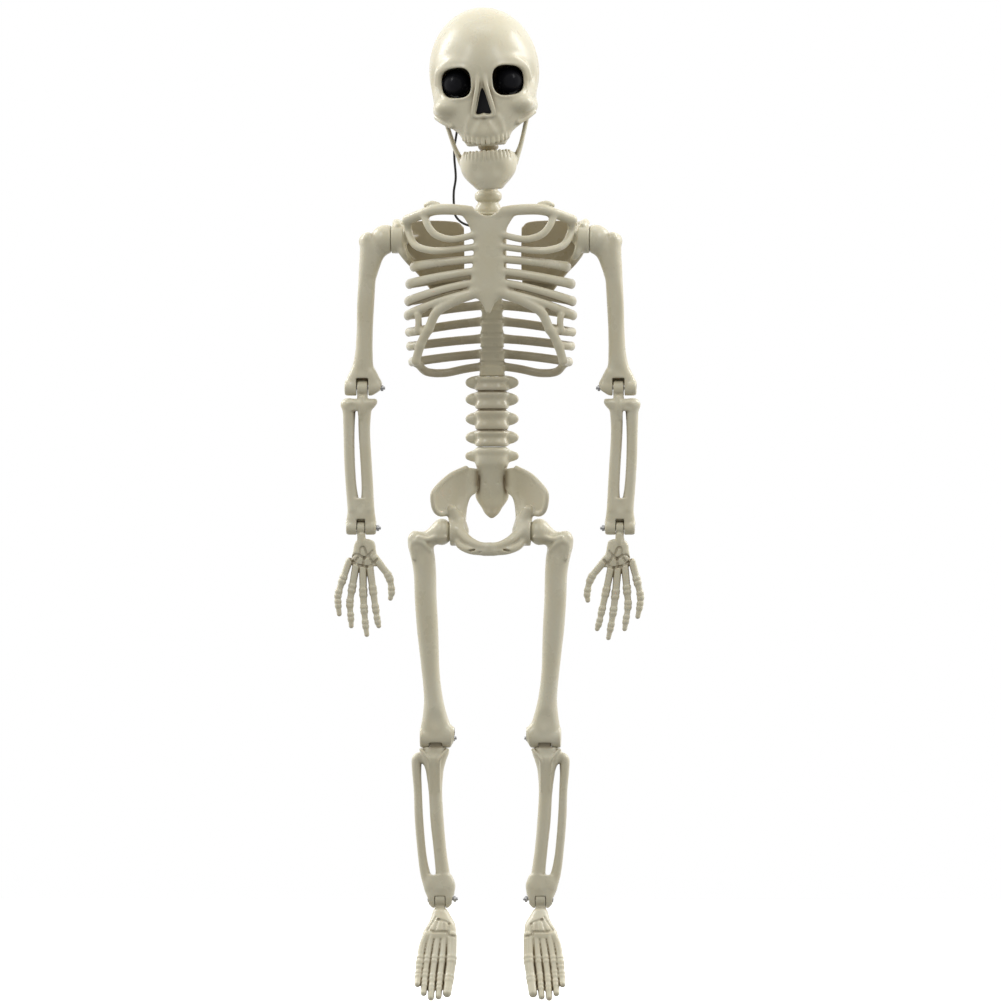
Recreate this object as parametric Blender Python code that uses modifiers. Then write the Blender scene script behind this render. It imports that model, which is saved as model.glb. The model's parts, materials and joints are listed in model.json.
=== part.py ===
"""Hanging skeleton figure, about 0.91 m tall, as an assembly of jointed plastic bones.

The figure faces -Y, +Z is up and +X is the figure's own left.  The origin is the hang point at
the base of the neck.  Lengths in this file are millimetres, and MM turns them into metres.
"""
import math

import bpy
import bmesh
from mathutils import Matrix, Vector

MM = 0.001
GAP = 0.35                 # clearance between neighbouring mouldings

# Joint axes: every limb hinge runs along X
NECK_X = -2.5              # the neck stands slightly off the breastbone's centre line
NECK_Y = 8.0
NOD_Z = 72.0               # centre of the neck ball
HEAD_ROLL = -3.5           # degrees, the head leans towards the figure's right
JAW_Y, JAW_UP = -14.0, 15.0
SHOULDER_X, SHOULDER_Z = 91.7, -30.5
ELBOW_X, ELBOW_Z = 118.5, -168.2
WRIST_X, WRIST_Z = 119.8, -297.5
HIP_X, HIP_Z = 37.7, -301.0
KNEE_X, KNEE_Z = 50.4, -491.6
ANKLE_X, ANKLE_Z = 46.5, -640.3
ELBOW_HALF, WRIST_HALF, KNEE_HALF, ANKLE_HALF = 16.6, 14.0, 14.8, 12.0     # half widths across the hinge ears

# Hinges
SCREW_R = 1.5
HOLE_R = 1.9
HEAD_R, HEAD_H = 3.1, 1.8
NUT_R, NUT_H = 3.2, 2.4
RECESS_R, RECESS = 3.7, 2.4          # counterbore that hides each screw head in the outer ear
TAIL = 1.6                           # how far a screw stands out past its nut
PIN_R, PIN_HOLE_R = 2.5, 3.0

# Skull, in its own frame: origin at the neck ball, before the head's lean
CRANIUM_C = (0.0, 0.0, 53.0)
CRANIUM_R = (50.7, 62.0, 58.6)
SKULL_WALL = 2.3
SEAM_Y = -8.0
EYE_X, EYE_UP, EYE_R = 24.5, 41.7, 13.4
LED_R = 2.5
WIRE_EXIT = (-29.0, NECK_Y)          # where the eye lead leaves the skull's base
EXIT_R = 2.4
NECK_WAY_R = 9.5

# Chest
STERNUM_Y = -36.0
RIB_R = 3.3
SPINE_Y = 28.0
RIB_BACK_Y = 36.0
LUMBAR_TOP, LUMBAR_BOTTOM = -157.3, -222.2

# Battery box on the back of the chest, for two AAA cells
CELL_R, CELL_LENGTH = 5.2, 44.5
BOX_HALF_W = 12.4
BOX_WALL = 1.4
BOX_FRONT, BOX_BACK = 35.6, 49.0
BOX_TOP, BOX_BOTTOM = -8.0, -78.0
COVER_THICK = 1.8
WIRE_R = 0.9

SIDES = {"left": 1, "right": -1}


# ---------------------------------------------------------------- scene and materials

def clear_scene():
    for item in list(bpy.data.objects):
        bpy.data.objects.remove(item)


def make_collection(name):
    collection = bpy.data.collections.new(name)
    bpy.context.scene.collection.children.link(collection)
    return collection


def make_material(name, colour, roughness, metallic=0.0):
    material = bpy.data.materials.new(name)
    material.use_nodes = True
    shader = material.node_tree.nodes["Principled BSDF"]
    shader.inputs["Base Color"].default_value = (*colour, 1.0)
    shader.inputs["Roughness"].default_value = roughness
    shader.inputs["Metallic"].default_value = metallic
    return material


clear_scene()
FIGURE = make_collection("skeleton_figure")
BENCH = make_collection("cutters")
BONE = make_material("bone_plastic", (0.60, 0.55, 0.42), 0.35)
STEEL = make_material("steel", (0.55, 0.55, 0.56), 0.30, 1.0)
LENS = make_material("black_lens", (0.010, 0.010, 0.012), 0.08)
RUBBER = make_material("black_rubber", (0.015, 0.015, 0.015), 0.60)
LED = make_material("led_red", (0.45, 0.03, 0.03), 0.15)
BOX_PLASTIC = make_material("box_plastic", (0.52, 0.47, 0.36), 0.45)
SWITCH = make_material("switch_black", (0.02, 0.02, 0.02), 0.45)
CELL = make_material("cell_jacket", (0.08, 0.09, 0.12), 0.35)


# ---------------------------------------------------------------- shapes on the bench

def bench_object(bm, name="blank"):
    """A closed mesh on the bench, ready to be joined, cut or kept."""
    bmesh.ops.recalc_face_normals(bm, faces=bm.faces)
    mesh = bpy.data.meshes.new(name)
    bm.to_mesh(mesh)
    bm.free()
    blank = bpy.data.objects.new(name, mesh)
    blank.hide_render = True
    blank.display_type = "WIRE"
    BENCH.objects.link(blank)
    return blank


def box(x, y, z):
    """A box between the pairs x, y and z."""
    bm = bmesh.new()
    bmesh.ops.create_cube(bm, size=1.0)
    size = Vector((x[1] - x[0], y[1] - y[0], z[1] - z[0])) * MM
    middle = Vector((x[0] + x[1], y[0] + y[1], z[0] + z[1])) * (MM / 2)
    bmesh.ops.scale(bm, vec=size, verts=bm.verts)
    bmesh.ops.translate(bm, vec=middle, verts=bm.verts)
    return bench_object(bm)


TURN = {"x": Matrix.Rotation(math.pi / 2, 4, "Y"), "y": Matrix.Rotation(-math.pi / 2, 4, "X"), "z": Matrix()}


def rod(axis, start, end, centre, radius, sides=12, end_radius=None):
    """A cylinder or cone along an axis letter; centre holds the two other coordinates in order."""
    bm = bmesh.new()
    tip = radius if end_radius is None else end_radius
    bmesh.ops.create_cone(bm, cap_ends=True, segments=sides, radius1=radius * MM, radius2=tip * MM,
                          depth=abs(end - start) * MM)
    bmesh.ops.transform(bm, matrix=TURN[axis], verts=bm.verts)
    place = list(centre)
    place.insert("xyz".index(axis), (start + end) / 2)
    bmesh.ops.translate(bm, vec=Vector(place) * MM, verts=bm.verts)
    return bench_object(bm)


def ball(centre, radii, around=14, rows=9):
    bm = bmesh.new()
    bmesh.ops.create_uvsphere(bm, u_segments=around, v_segments=rows, radius=1.0)
    bmesh.ops.scale(bm, vec=Vector(radii) * MM, verts=bm.verts)
    bmesh.ops.translate(bm, vec=Vector(centre) * MM, verts=bm.verts)
    return bench_object(bm)


def loft(stations, sides=10, squareness=0.0):
    """A solid through level rings (x, y, z, half width, half depth), closed at both ends.

    A squareness of 0 gives ellipses; towards 1 the rings fill out to rounded rectangles.
    """
    bm = bmesh.new()
    power = 1.0 - 0.55 * squareness
    rings = []
    for x, y, z, half_w, half_d in stations:
        ring = []
        for step in range(sides):
            turn = 2 * math.pi * (step + 0.5) / sides
            across, deep = math.cos(turn), math.sin(turn)
            across = math.copysign(abs(across) ** power, across)
            deep = math.copysign(abs(deep) ** power, deep)
            ring.append(bm.verts.new(Vector((x + half_w * across, y + half_d * deep, z)) * MM))
        rings.append(ring)
    for low, high in zip(rings, rings[1:]):
        for step in range(sides):
            after = (step + 1) % sides
            bm.faces.new((low[step], low[after], high[after], high[step]))
    bm.faces.new(rings[0])
    bm.faces.new(rings[-1])
    return bench_object(bm)


def strut(points, radius, radii=None, bevel=1):
    """A round bar through the points, each with its own share of the radius."""
    curve = bpy.data.curves.new("bar", "CURVE")
    curve.dimensions = "3D"
    curve.bevel_depth = radius * MM
    curve.bevel_resolution = bevel
    curve.use_fill_caps = True
    spline = curve.splines.new("POLY")
    spline.points.add(len(points) - 1)
    for index, point in enumerate(points):
        spline.points[index].co = (*(Vector(point) * MM), 1.0)
        spline.points[index].radius = 1.0 if radii is None else radii[index]
    source = bpy.data.objects.new("bar", curve)
    BENCH.objects.link(source)
    graph = bpy.context.evaluated_depsgraph_get()
    mesh = bpy.data.meshes.new_from_object(source.evaluated_get(graph))
    bpy.data.objects.remove(source)
    bm = bmesh.new()
    bm.from_mesh(mesh)
    bmesh.ops.remove_doubles(bm, verts=bm.verts, dist=0.00001)
    return bench_object(bm)


def plate(outline, y, thick):
    """A flat plate whose outline is a list of (x, z) corners, lying between y and y + thick."""
    curve = bpy.data.curves.new("sheet", "CURVE")
    curve.dimensions = "2D"
    curve.fill_mode = "BOTH"
    curve.extrude = thick / 2 * MM
    spline = curve.splines.new("POLY")
    spline.points.add(len(outline) - 1)
    for index, (x, z) in enumerate(outline):
        spline.points[index].co = (x * MM, z * MM, 0.0, 1.0)
    spline.use_cyclic_u = True
    source = bpy.data.objects.new("sheet", curve)
    BENCH.objects.link(source)
    graph = bpy.context.evaluated_depsgraph_get()
    mesh = bpy.data.meshes.new_from_object(source.evaluated_get(graph))
    bpy.data.objects.remove(source)
    bm = bmesh.new()
    bm.from_mesh(mesh)
    bmesh.ops.remove_doubles(bm, verts=bm.verts, dist=0.00001)
    stand_up = Matrix.Translation((0.0, (y + thick / 2) * MM, 0.0)) @ Matrix.Rotation(math.pi / 2, 4, "X")
    bmesh.ops.transform(bm, matrix=stand_up, verts=bm.verts)
    return bench_object(bm)


def turned(profile, centre, axis="z", steps=20):
    """A profile of (radius, height) corners turned a full circle with a Screw modifier."""
    mesh = bpy.data.meshes.new("profile")
    corners = [(radius * MM, 0.0, height * MM) for radius, height in profile]
    edges = [(index, index + 1) for index in range(len(corners) - 1)]
    mesh.from_pydata(corners, edges, [])
    source = bpy.data.objects.new("profile", mesh)
    BENCH.objects.link(source)
    screw = source.modifiers.new("turn", "SCREW")
    screw.steps = steps
    screw.render_steps = steps
    screw.use_merge_vertices = True
    screw.merge_threshold = 0.00001
    bake(source)
    bm = bmesh.new()
    bm.from_mesh(source.data)
    bpy.data.objects.remove(source)
    bmesh.ops.transform(bm, matrix=Matrix.Translation(Vector(centre) * MM) @ TURN[axis], verts=bm.verts)
    return bench_object(bm)


def bake(item):
    """Give an object the mesh that its modifiers make."""
    graph = bpy.context.evaluated_depsgraph_get()
    mesh = bpy.data.meshes.new_from_object(item.evaluated_get(graph))
    item.modifiers.clear()
    item.data = mesh


def boolean(target, tools, operation, solver):
    """Join tools to a target, or cut them from it, and clear the tools away."""
    for tool in tools:
        step = target.modifiers.new(operation.lower(), "BOOLEAN")
        step.operation = operation
        step.solver = solver
        step.object = tool
    bake(target)
    for tool in tools:
        bpy.data.objects.remove(tool)
    return target


def join(first, *others, solver="EXACT"):
    return boolean(first, others, "UNION", solver)


def cut(target, *tools, solver="EXACT"):
    return boolean(target, tools, "DIFFERENCE", solver)


def shape(item, function):
    """Move each corner of a bench object by a rule in millimetres."""
    for vertex in item.data.vertices:
        vertex.co = Vector(function(*(vertex.co / MM))) * MM
    return item


def mirrored(x_sign, item):
    """The same piece for the other side of the body."""
    if x_sign < 0:
        bm = bmesh.new()
        bm.from_mesh(item.data)
        bmesh.ops.scale(bm, vec=(-1.0, 1.0, 1.0), verts=bm.verts)
        bmesh.ops.reverse_faces(bm, faces=bm.faces)
        bm.to_mesh(item.data)
        bm.free()
    return item


# ---------------------------------------------------------------- finished pieces

def pivot(name, place, parent=None):
    """An empty on a joint's axis; the pieces that the joint carries hang from it."""
    empty = bpy.data.objects.new(name, None)
    empty["place"] = [value * MM for value in place]
    empty.empty_display_size = 0.01
    FIGURE.objects.link(empty)
    empty.parent = parent
    base = Vector(parent["place"]) if parent else Vector()
    empty.location = Vector(empty["place"]) - base
    return empty


def finish(name, item, material, carrier, smooth=35.0):
    """Name a piece, colour it and hang it from the empty that carries it."""
    bm = bmesh.new()
    bm.from_mesh(item.data)
    bmesh.ops.triangulate(bm, faces=[face for face in bm.faces if len(face.verts) > 4])
    bmesh.ops.remove_doubles(bm, verts=bm.verts, dist=0.000004)
    bmesh.ops.dissolve_degenerate(bm, edges=bm.edges, dist=0.000004)
    bmesh.ops.holes_fill(bm, edges=[edge for edge in bm.edges if edge.is_boundary], sides=4)
    bm.to_mesh(item.data)
    bm.free()
    place = Vector(carrier["place"])
    item.data.transform(Matrix.Translation(-place))
    item.data.materials.clear()
    item.data.materials.append(material)
    item.data.shade_smooth()
    item.data.set_sharp_from_angle(angle=math.radians(smooth))
    item.name = name
    item.data.name = name
    item.hide_render = False
    item.display_type = "TEXTURED"
    BENCH.objects.unlink(item)
    FIGURE.objects.link(item)
    item.parent = carrier
    return item


def head_place(x, y, up):
    """World millimetres of a point in the skull's own frame, after the head's lean."""
    lean = math.radians(HEAD_ROLL)
    return (NECK_X + x * math.cos(lean) + up * math.sin(lean), y,
            NOD_Z - x * math.sin(lean) + up * math.cos(lean))


def lean_head(item):
    return shape(item, head_place)


def add_hinge_screw(joint, name, side, x, half, z, carrier):
    """A machine screw along X with its head in the outer ear, and the hex nut on its inner end."""
    seat, inner = x + half - RECESS + GAP, x - half - GAP
    screw = join(rod("x", inner - NUT_H - TAIL, seat + 0.2, (0, z), SCREW_R, 8),
                 rod("x", seat, seat + HEAD_H, (0, z), HEAD_R, 10))
    nut = cut(rod("x", inner - NUT_H, inner, (0, z), NUT_R, 6),
              rod("x", inner - 9, inner + 3, (0, z), HOLE_R, 8))
    finish(joint + "_screw_" + name, mirrored(side, screw), STEEL, carrier)
    finish(joint + "_nut_" + name, mirrored(side, nut), STEEL, carrier)


def hinge_hole(x, half, z):
    """Cutters for a hinge: the screw's hole through both ears and the counterbore for its head."""
    return (rod("x", x - half - 20, x + half + 20, (0, z), HOLE_R, 12),
            rod("x", x + half - RECESS, x + half + 20, (0, z), RECESS_R, 12))


# ---------------------------------------------------------------- head

def skull_shell():
    """The hollow skull with its eye sockets, nose opening and the openings in its base."""
    wall = SKULL_WALL
    face_rings = [(0, -41, -17, 21.0, 14.0), (0, -40, -6, 24.0, 18.0), (0, -28, 4, 36.0, 30.5),
                  (0, -20, 12, 46.5, 38.0), (0, -18, 26, 47.5, 40.0), (0, -10, 44, 48.5, 48.5),
                  (0, -4, 60, 46.0, 53.0)]
    hollow_rings = [(x, y, z, w - wall, d - wall) for x, y, z, w, d in face_rings]
    hollow_rings[0] = (0, -39, -15, 18.0, 11.0)
    hollow_rings[1] = (0, -38, -6, 21.5, 15.0)
    hollow_rings[-1] = (0, -4, 59, 43.7, 50.7)
    outer = join(ball(CRANIUM_C, CRANIUM_R, 18, 10), loft(face_rings, 14))
    inner = join(ball(CRANIUM_C, [r - wall for r in CRANIUM_R], 18, 10), loft(hollow_rings, 14))
    shell = cut(outer, inner)
    nose = loft([(0, -48, 12.5, 7.0, 18.0), (0, -48, 24, 5.0, 18.0), (0, -48, 35.6, 0.8, 18.0)], 8, 0.9)
    sockets = [rod("y", -75, -20, (side * EYE_X, EYE_UP), EYE_R, 18) for side in (1, -1)]
    jaw_slots = [box(sorted((side * 22, side * 45.0)), (-25, -2), (-30, 11.5)) for side in (1, -1)]
    pin_holes = [rod("x", side * 30, side * 60, (JAW_Y, JAW_UP), HOLE_R, 12) for side in (1, -1)]
    neck_way = rod("z", -20, 6, (0, NECK_Y), NECK_WAY_R, 16)
    return cut(shell, nose, *sockets, *jaw_slots, *pin_holes, neck_way, solver="MANIFOLD")


def build_skull(head):
    front = skull_shell()
    back = front.copy()
    back.data = front.data.copy()
    BENCH.objects.link(back)
    cut(front, box((-90, 90), (SEAM_Y, 90), (-60, 140)))
    cut(back, box((-90, 90), (-90, SEAM_Y + GAP), (-60, 140)),
        rod("z", -10, 25, WIRE_EXIT, EXIT_R, 10))
    finish("skull_face", lean_head(front), BONE, head)
    finish("skull_back", lean_head(back), BONE, head)


def build_eyes(head):
    for name, side in SIDES.items():
        lens = ball((side * EYE_X, -36.5, EYE_UP), (EYE_R - GAP, 11.5, EYE_R - GAP), 14, 9)
        cut(lens, box((-60, 60), (-36, -10), (0, 90)))
        finish("eye_lens_" + name, lean_head(lens), LENS, head)
        bulb = join(rod("y", -34.0, -28.5, (side * EYE_X, EYE_UP), LED_R, 12),
                    rod("y", -29.5, -28.0, (side * EYE_X, EYE_UP), LED_R + 0.5, 12))
        finish("led_" + name, lean_head(bulb), LED, head)


def build_jaw(jaw_pivot, head):
    """The horseshoe of the lower jaw, its two upright straps and their pins."""
    outer = loft([(0, -27, -23.5, 24.5, 27), (0, -26.5, -33, 26.0, 28), (0, -28, -42, 24.4, 25.8),
                  (0, -29.4, -48, 20.4, 23.8), (0, -31, -57, 12.0, 20.0)], 16, 0.2)
    inner = loft([(0, -24, -20.0, 19.5, 25), (0, -23.5, -33, 21.0, 27), (0, -25, -42, 18.8, 24.6),
                  (0, -26.6, -49, 13.6, 22.4), (0, -28, -62, 8.0, 19.0)], 16, 0.2)
    jaw = cut(outer, inner, box((-60, 60), (-16, 40), (-70, 0)), box((-60, 60), (-23, 30), (-80, -38)),
              box((-60, 60), (-29, 30), (-80, -48)))
    for side in (1, -1):
        strap = [(side * 25.0, -19, -31), (side * 30.5, -17.5, -18), (side * 36.0, -15, 2),
                 (side * 38.4, JAW_Y, 12)]
        eye = rod("x", side * 36.2, side * 40.6, (JAW_Y, JAW_UP), 4.6, 12)
        join(jaw, strut(strap, 3.2, (1.25, 1.0, 0.9, 1.0)), eye)
        cut(jaw, rod("x", side * 34, side * 46, (JAW_Y, JAW_UP), HOLE_R, 12))
    finish("jaw", lean_head(jaw), BONE, jaw_pivot)
    for name, side in SIDES.items():
        pin = rod("x", side * 35.4, side * 43.4, (JAW_Y, JAW_UP), SCREW_R, 12)
        finish("jaw_pin_" + name, lean_head(pin), STEEL, head)


def build_neck_socket(head):
    """The cup inside the skull that clips over the neck ball."""
    profile = [(0.0, 11.5), (6.0, 11.5), (10.6, 8.5), (10.6, 0.8), (8.7, 0.8), (8.7, 5.0), (4.5, 8.4),
               (0.0, 8.4)]
    cup = turned(profile, (0, NECK_Y, 0))
    finish("neck_socket", lean_head(cup), BOX_PLASTIC, head)


def build_grommet(head):
    ring = turned([(2.0, 5.5), (2.0, 2.4), (3.6, 2.4), (3.6, 0.4), (1.3, 0.4), (1.3, 5.5), (2.0, 5.5)],
                  (*WIRE_EXIT, 0), steps=12)
    finish("wire_grommet", lean_head(ring), RUBBER, head)


def build_neck(neck):
    """Turned neck: peg in the chest, beads like vertebrae, ball on top."""
    lower = [(0.0, -28.0), (6.0, -28.0), (6.0, -8.3), (11.0, -8.3), (12.2, -3.0), (11.0, 3.0), (9.5, 3.7),
             (12.3, 6.0), (12.3, 12.0), (9.0, 15.0)]
    beads = []
    for bead in range(5):
        level = 15.5 + 9.0 * bead
        beads += [(9.4, level + 3.8), (7.0, level + 8.0)]
    top = [(4.8, 61.0), (4.8, 64.5)]
    sphere = [(8.0 * math.sin(a), NOD_Z - 8.0 * math.cos(a)) for a in (0.9, 1.6, 2.3)]
    profile = lower + beads + top + sphere + [(0.0, NOD_Z + 8.0)]
    post = turned(profile[::-1], (NECK_X, NECK_Y, 0), steps=10)
    finish("neck", post, BONE, neck)


# ---------------------------------------------------------------- chest

def rib_path(width, front_z, side_z, start, end, depth, count=5):
    """Points along one quarter of a rib; start and end are angles from the front or back middle."""
    points = []
    for step in range(count):
        share = step / (count - 1)
        turn = math.radians(start + (end - start) * share)
        drop = math.sin(turn) ** 1.5
        points.append((width * math.sin(turn), depth * math.cos(turn), front_z + (side_z - front_z) * drop))
    return points


FULL_RIBS = ((-49, -56, 71), (-60, -72, 75), (-70, -88, 76), (-78, -101, 76.5))
COSTAL_EDGE = ((10, -80), (31, -88), (48, -98), (55, -112), (63, -127), (68, -143))
FALSE_RIBS = ((-116.5, 76), (-129.5, 75), (-144.0, 73))
BACK_RIBS = ((-62, -72, 75), (-77, -88, 76), (-91, -101, 76.5), (-106, -116.5, 76), (-122, -129.5, 75),
             (-136, -144.0, 73))


def costal_point(x, z):
    """A point of the rib arch, kept on the curved front of the chest."""
    return (x, STERNUM_Y * math.sqrt(max(0.05, 1 - (x / 78) ** 2)), z)


def build_rib_cage_front(torso):
    """Breastbone, collarbones, front ribs and the rib arch as one moulding."""
    plate_rings = [(0, STERNUM_Y, -10, 23.0, 3.6), (0, STERNUM_Y, -20, 17.5, 4.0),
                   (0, STERNUM_Y, -38, 14.2, 4.0), (0, STERNUM_Y, -68, 15.5, 4.0),
                   (0, STERNUM_Y, -82, 16.5, 4.0), (0, STERNUM_Y, -87, 7.5, 3.6),
                   (0, STERNUM_Y, -98, 2.0, 2.2)]
    bars = []
    for side in (1, -1):
        bars.append(strut([(side * 8, STERNUM_Y, -7), (side * 24, -35, -4.5), (side * 46, -31, -3.5),
                           (side * 60, -25, -7), (side * 76, -15, -13)], 4.2))
        bars.append(strut([(side * 59, -26, -8), (side * 56, -30, -19), (side * 48, -33, -27.5),
                           (side * 33, -36, -31.5), (side * 12, STERNUM_Y, -27)], RIB_R))
        bars.append(strut([(side * 76, -14, -14), (side * 75.0, -12, -24), (side * 69, -20, -36),
                           (side * 56, -28, -41), (side * 40, -34, -41.5), (side * 11, STERNUM_Y, -38)], RIB_R))
        for front_z, side_z, width in FULL_RIBS:
            path = rib_path(width, front_z, side_z, 8, 87.6, STERNUM_Y)
            bars.append(strut([(side * x, y, z) for x, y, z in path], RIB_R))
        arch = [costal_point(x, z) for x, z in COSTAL_EDGE]
        bars.append(strut([(side * x, y, z) for x, y, z in arch], 4.0))
        for side_z, width in FALSE_RIBS:
            near = min(arch, key=lambda point: abs(point[2] - side_z))
            turn = math.asin(near[0] / width) if near[0] < width else 1.4
            path = [(width * math.sin(t), STERNUM_Y * math.cos(t), side_z)
                    for t in (turn, (turn + math.radians(87.6)) / 2, math.radians(87.6))]
            path[0] = (near[0], near[1], (near[2] + side_z) / 2)
            bars.append(strut([(side * x, y, z) for x, y, z in path], RIB_R))
    cage = join(loft(plate_rings, 16, 0.5), *bars)
    cut(cage, rod("y", -60, -10, (NECK_X + 1.5, 6), 15.0, 16))
    finish("rib_cage_front", cage, BONE, torso)


def build_rib_cage_back(torso):
    """Chest part of the spine with the back ribs and the socket for the neck peg."""
    rings = [(0, SPINE_Y, -12, 7.0, 6.5)]
    for level in range(5):
        z = -30 - 26 * level
        half = 7.4 + 0.7 * level
        rings += [(0, SPINE_Y, z, half + 0.9, 6.9), (0, SPINE_Y, z - 13, half - 0.4, 6.2)]
    rings = rings[:-1]
    rings.append((0, SPINE_Y - 1, LUMBAR_TOP + GAP, 11.0, 7.5))
    spine = loft(rings, 10, 0.2)
    bars = [box((-6, 6), (NECK_Y + 8, SPINE_Y), (-30, -16)),
            rod("z", -32, -8.8, (NECK_X, NECK_Y), 10.5, 16)]
    for side in (1, -1):
        for spine_z, side_z, width in BACK_RIBS:
            path = rib_path(width, spine_z, side_z, 3, 87.6, RIB_BACK_Y)
            path[0] = (2.0, SPINE_Y, spine_z)
            bars.append(strut([(side * x, y, z) for x, y, z in path], RIB_R))
        low = [(2, SPINE_Y, -147), (24, 33, -150), (44, 28, -154), (60, 18, -153), (68, 8, -145.5)]
        bars.append(strut([(side * x, y, z) for x, y, z in low], RIB_R))
    cage = join(spine, *bars)
    cut(cage, rod("z", -34, 0, (NECK_X, NECK_Y), 6.5, 16))
    finish("rib_cage_back", cage, BONE, torso)


# Shoulder blade as (x, z) corners; the blade slopes back towards the spine, clear of the back ribs
BLADE = ((27, -20), (34, -14), (62, -13), (82, -17), (84, -34), (79, -50), (64, -66), (55, -79), (47, -90),
         (41, -91), (31, -80), (27, -66))
BLADE_Y, BLADE_SLOPE, BLADE_THICK = 29.8, 0.34, 2.6


def build_scapula(name, side, torso):
    """Shoulder blade: a thin blade behind the ribs and the round face that the arm turns against."""
    blade = plate(BLADE, 0.0, BLADE_THICK)
    shape(blade, lambda x, y, z: (x, y + BLADE_Y + BLADE_SLOPE * (54 - x), z))
    face = rod("x", 80.5, SHOULDER_X, (0, SHOULDER_Z), 13.2, 18)
    neck = strut([(82, 0, -28), (82.5, 9, -27), (80, 17, -27), (72, 25, -28)], 8.0, (1.1, 0.9, 0.75, 0.4))
    point = strut([(86, -2, -20), (86.8, 8, -17), (84, 17, -17), (70, 26, -18)], 4.2)
    border = strut([(83, 6, -35), (81, 15, -43), (72, 26, -55), (62, 30, -66), (54, 32.4, -77)], 3.0,
                   (1.6, 1.3, 1, 1, 0.8))
    scapula = join(blade, face, neck, point, border)
    cut(scapula, rod("x", 70, 100, (0, SHOULDER_Z), PIN_HOLE_R, 12),
        rod("x", 60, 79.0, (0, SHOULDER_Z), 5.4, 12))
    finish("scapula_" + name, mirrored(side, scapula), BONE, torso)
    pin = join(rod("x", 78.0, 104.0, (0, SHOULDER_Z), PIN_R, 12),
               rod("x", 76.6, 78.6, (0, SHOULDER_Z), 4.6, 12))
    finish("shoulder_pin_" + name, mirrored(side, pin), STEEL, torso)


def build_battery_box(torso, switch_pivot):
    """Battery box with cover, screw, cells and contacts, and the slide switch below the cells."""
    inner = BOX_HALF_W - BOX_WALL
    cell_top = BOX_TOP - 9.0
    cell_end = cell_top - CELL_LENGTH
    middle_y = BOX_FRONT + BOX_WALL + CELL_R + 0.5
    case = box((-BOX_HALF_W, BOX_HALF_W), (BOX_FRONT, BOX_BACK), (BOX_BOTTOM, BOX_TOP))
    screw_z, switch_z = BOX_TOP - 3.5, BOX_BOTTOM + 6.0
    cut(case, box((-inner, inner), (BOX_FRONT + BOX_WALL, BOX_BACK + 5), (cell_end - 2.0, cell_top + 2.0)),
        box((-5.5, 5.5), (BOX_BACK - 4.0, BOX_BACK + 5), (switch_z - 2.2, switch_z + 2.2)),
        rod("y", BOX_BACK - 9, BOX_BACK + 3, (0, screw_z), HOLE_R, 12),
        rod("x", -BOX_HALF_W - 2, -inner + 2, (middle_y, cell_top + 0.5), 1.3, 10))
    finish("battery_box", case, BOX_PLASTIC, torso)
    lid_bottom = switch_z + 3.2
    lid = box((-BOX_HALF_W, BOX_HALF_W), (BOX_BACK + 0.3, BOX_BACK + 0.3 + COVER_THICK), (lid_bottom, BOX_TOP))
    cut(lid, rod("y", BOX_BACK - 2, BOX_BACK + 6, (0, screw_z), HOLE_R, 12),
        rod("y", BOX_BACK + 1.1, BOX_BACK + 6, (0, screw_z), 3.0, 16))
    finish("battery_cover", lid, BOX_PLASTIC, torso)
    screw = join(rod("y", BOX_BACK - 7.5, BOX_BACK + 1.5, (0, screw_z), SCREW_R, 12),
                 rod("y", BOX_BACK + 1.45, BOX_BACK + 2.0, (0, screw_z), 2.6, 12))
    finish("battery_cover_screw", screw, STEEL, torso)
    for number, x in ((1, -5.5), (2, 5.5)):
        flip = 1 if number == 1 else -1
        top, end = cell_top - 0.6, cell_end + 0.6
        nub = top if flip > 0 else end
        foot, head = (0, 0.8) if flip > 0 else (0.8, 0)
        body = join(rod("z", end + foot, top - head, (x, middle_y), CELL_R, 16),
                    rod("z", nub - flip * 1.2, nub, (x, middle_y), 1.9, 12))
        finish("battery_" + str(number), body, CELL, torso)
    for name, z in (("top", cell_top + 0.6), ("bottom", cell_end - 1.0)):
        strip = box((-inner + 0.4, inner - 0.4), (middle_y - 4.5, middle_y + 4.5), (z - 0.25, z + 0.25))
        finish("battery_contact_" + name, strip, STEEL, torso)
    slider = join(box((-4.0, 1.5), (BOX_BACK - 3.6, BOX_BACK - 1.4), (switch_z - 1.8, switch_z + 1.8)),
                  box((-3.2, -0.2), (BOX_BACK - 2.0, BOX_BACK + 1.6), (switch_z - 1.2, switch_z + 1.2)))
    finish("power_switch", slider, SWITCH, switch_pivot)


def smooth_route(points, step):
    """Evenly spaced points on a smooth curve through a route's own points."""
    ends = [points[0]] + list(points) + [points[-1]]
    dense = []
    for a, b, c, d in zip(ends, ends[1:], ends[2:], ends[3:]):
        a, b, c, d = (Vector(p) for p in (a, b, c, d))
        for part in range(12):
            t = part / 12
            dense.append(0.5 * (2 * b + (c - a) * t + (2 * a - 5 * b + 4 * c - d) * t * t
                                + (3 * b - a - 3 * c + d) * t * t * t))
    dense.append(Vector(points[-1]))
    route, travelled = [dense[0]], 0.0
    for before, after in zip(dense, dense[1:]):
        travelled += (after - before).length
        if travelled >= step:
            route.append(after)
            travelled = 0.0
    route[-1] = dense[-1]
    return route


def build_wire(torso):
    """The eye lead: out of the skull's grommet, slack beside the neck, over the blade to the box."""
    start = head_place(*WIRE_EXIT, 0.0)
    middle_y = BOX_FRONT + BOX_WALL + CELL_R + 0.5
    route = [start, (-32.6, 9, 63), (-34.0, 11, 54.5), (-34.2, 14, 44), (-33.2, 18.5, 27), (-35.3, 24, 14),
             (-35.6, 30, 2.5), (-35.0, 36.5, -7), (-29.5, 41.5, -14), (-21, 43.2, -17.5),
             (-BOX_HALF_W - GAP, middle_y, BOX_TOP - 8.5)]
    finish("eye_wire", strut(smooth_route(route, 4.6), WIRE_R, bevel=2), RUBBER, torso)


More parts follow.
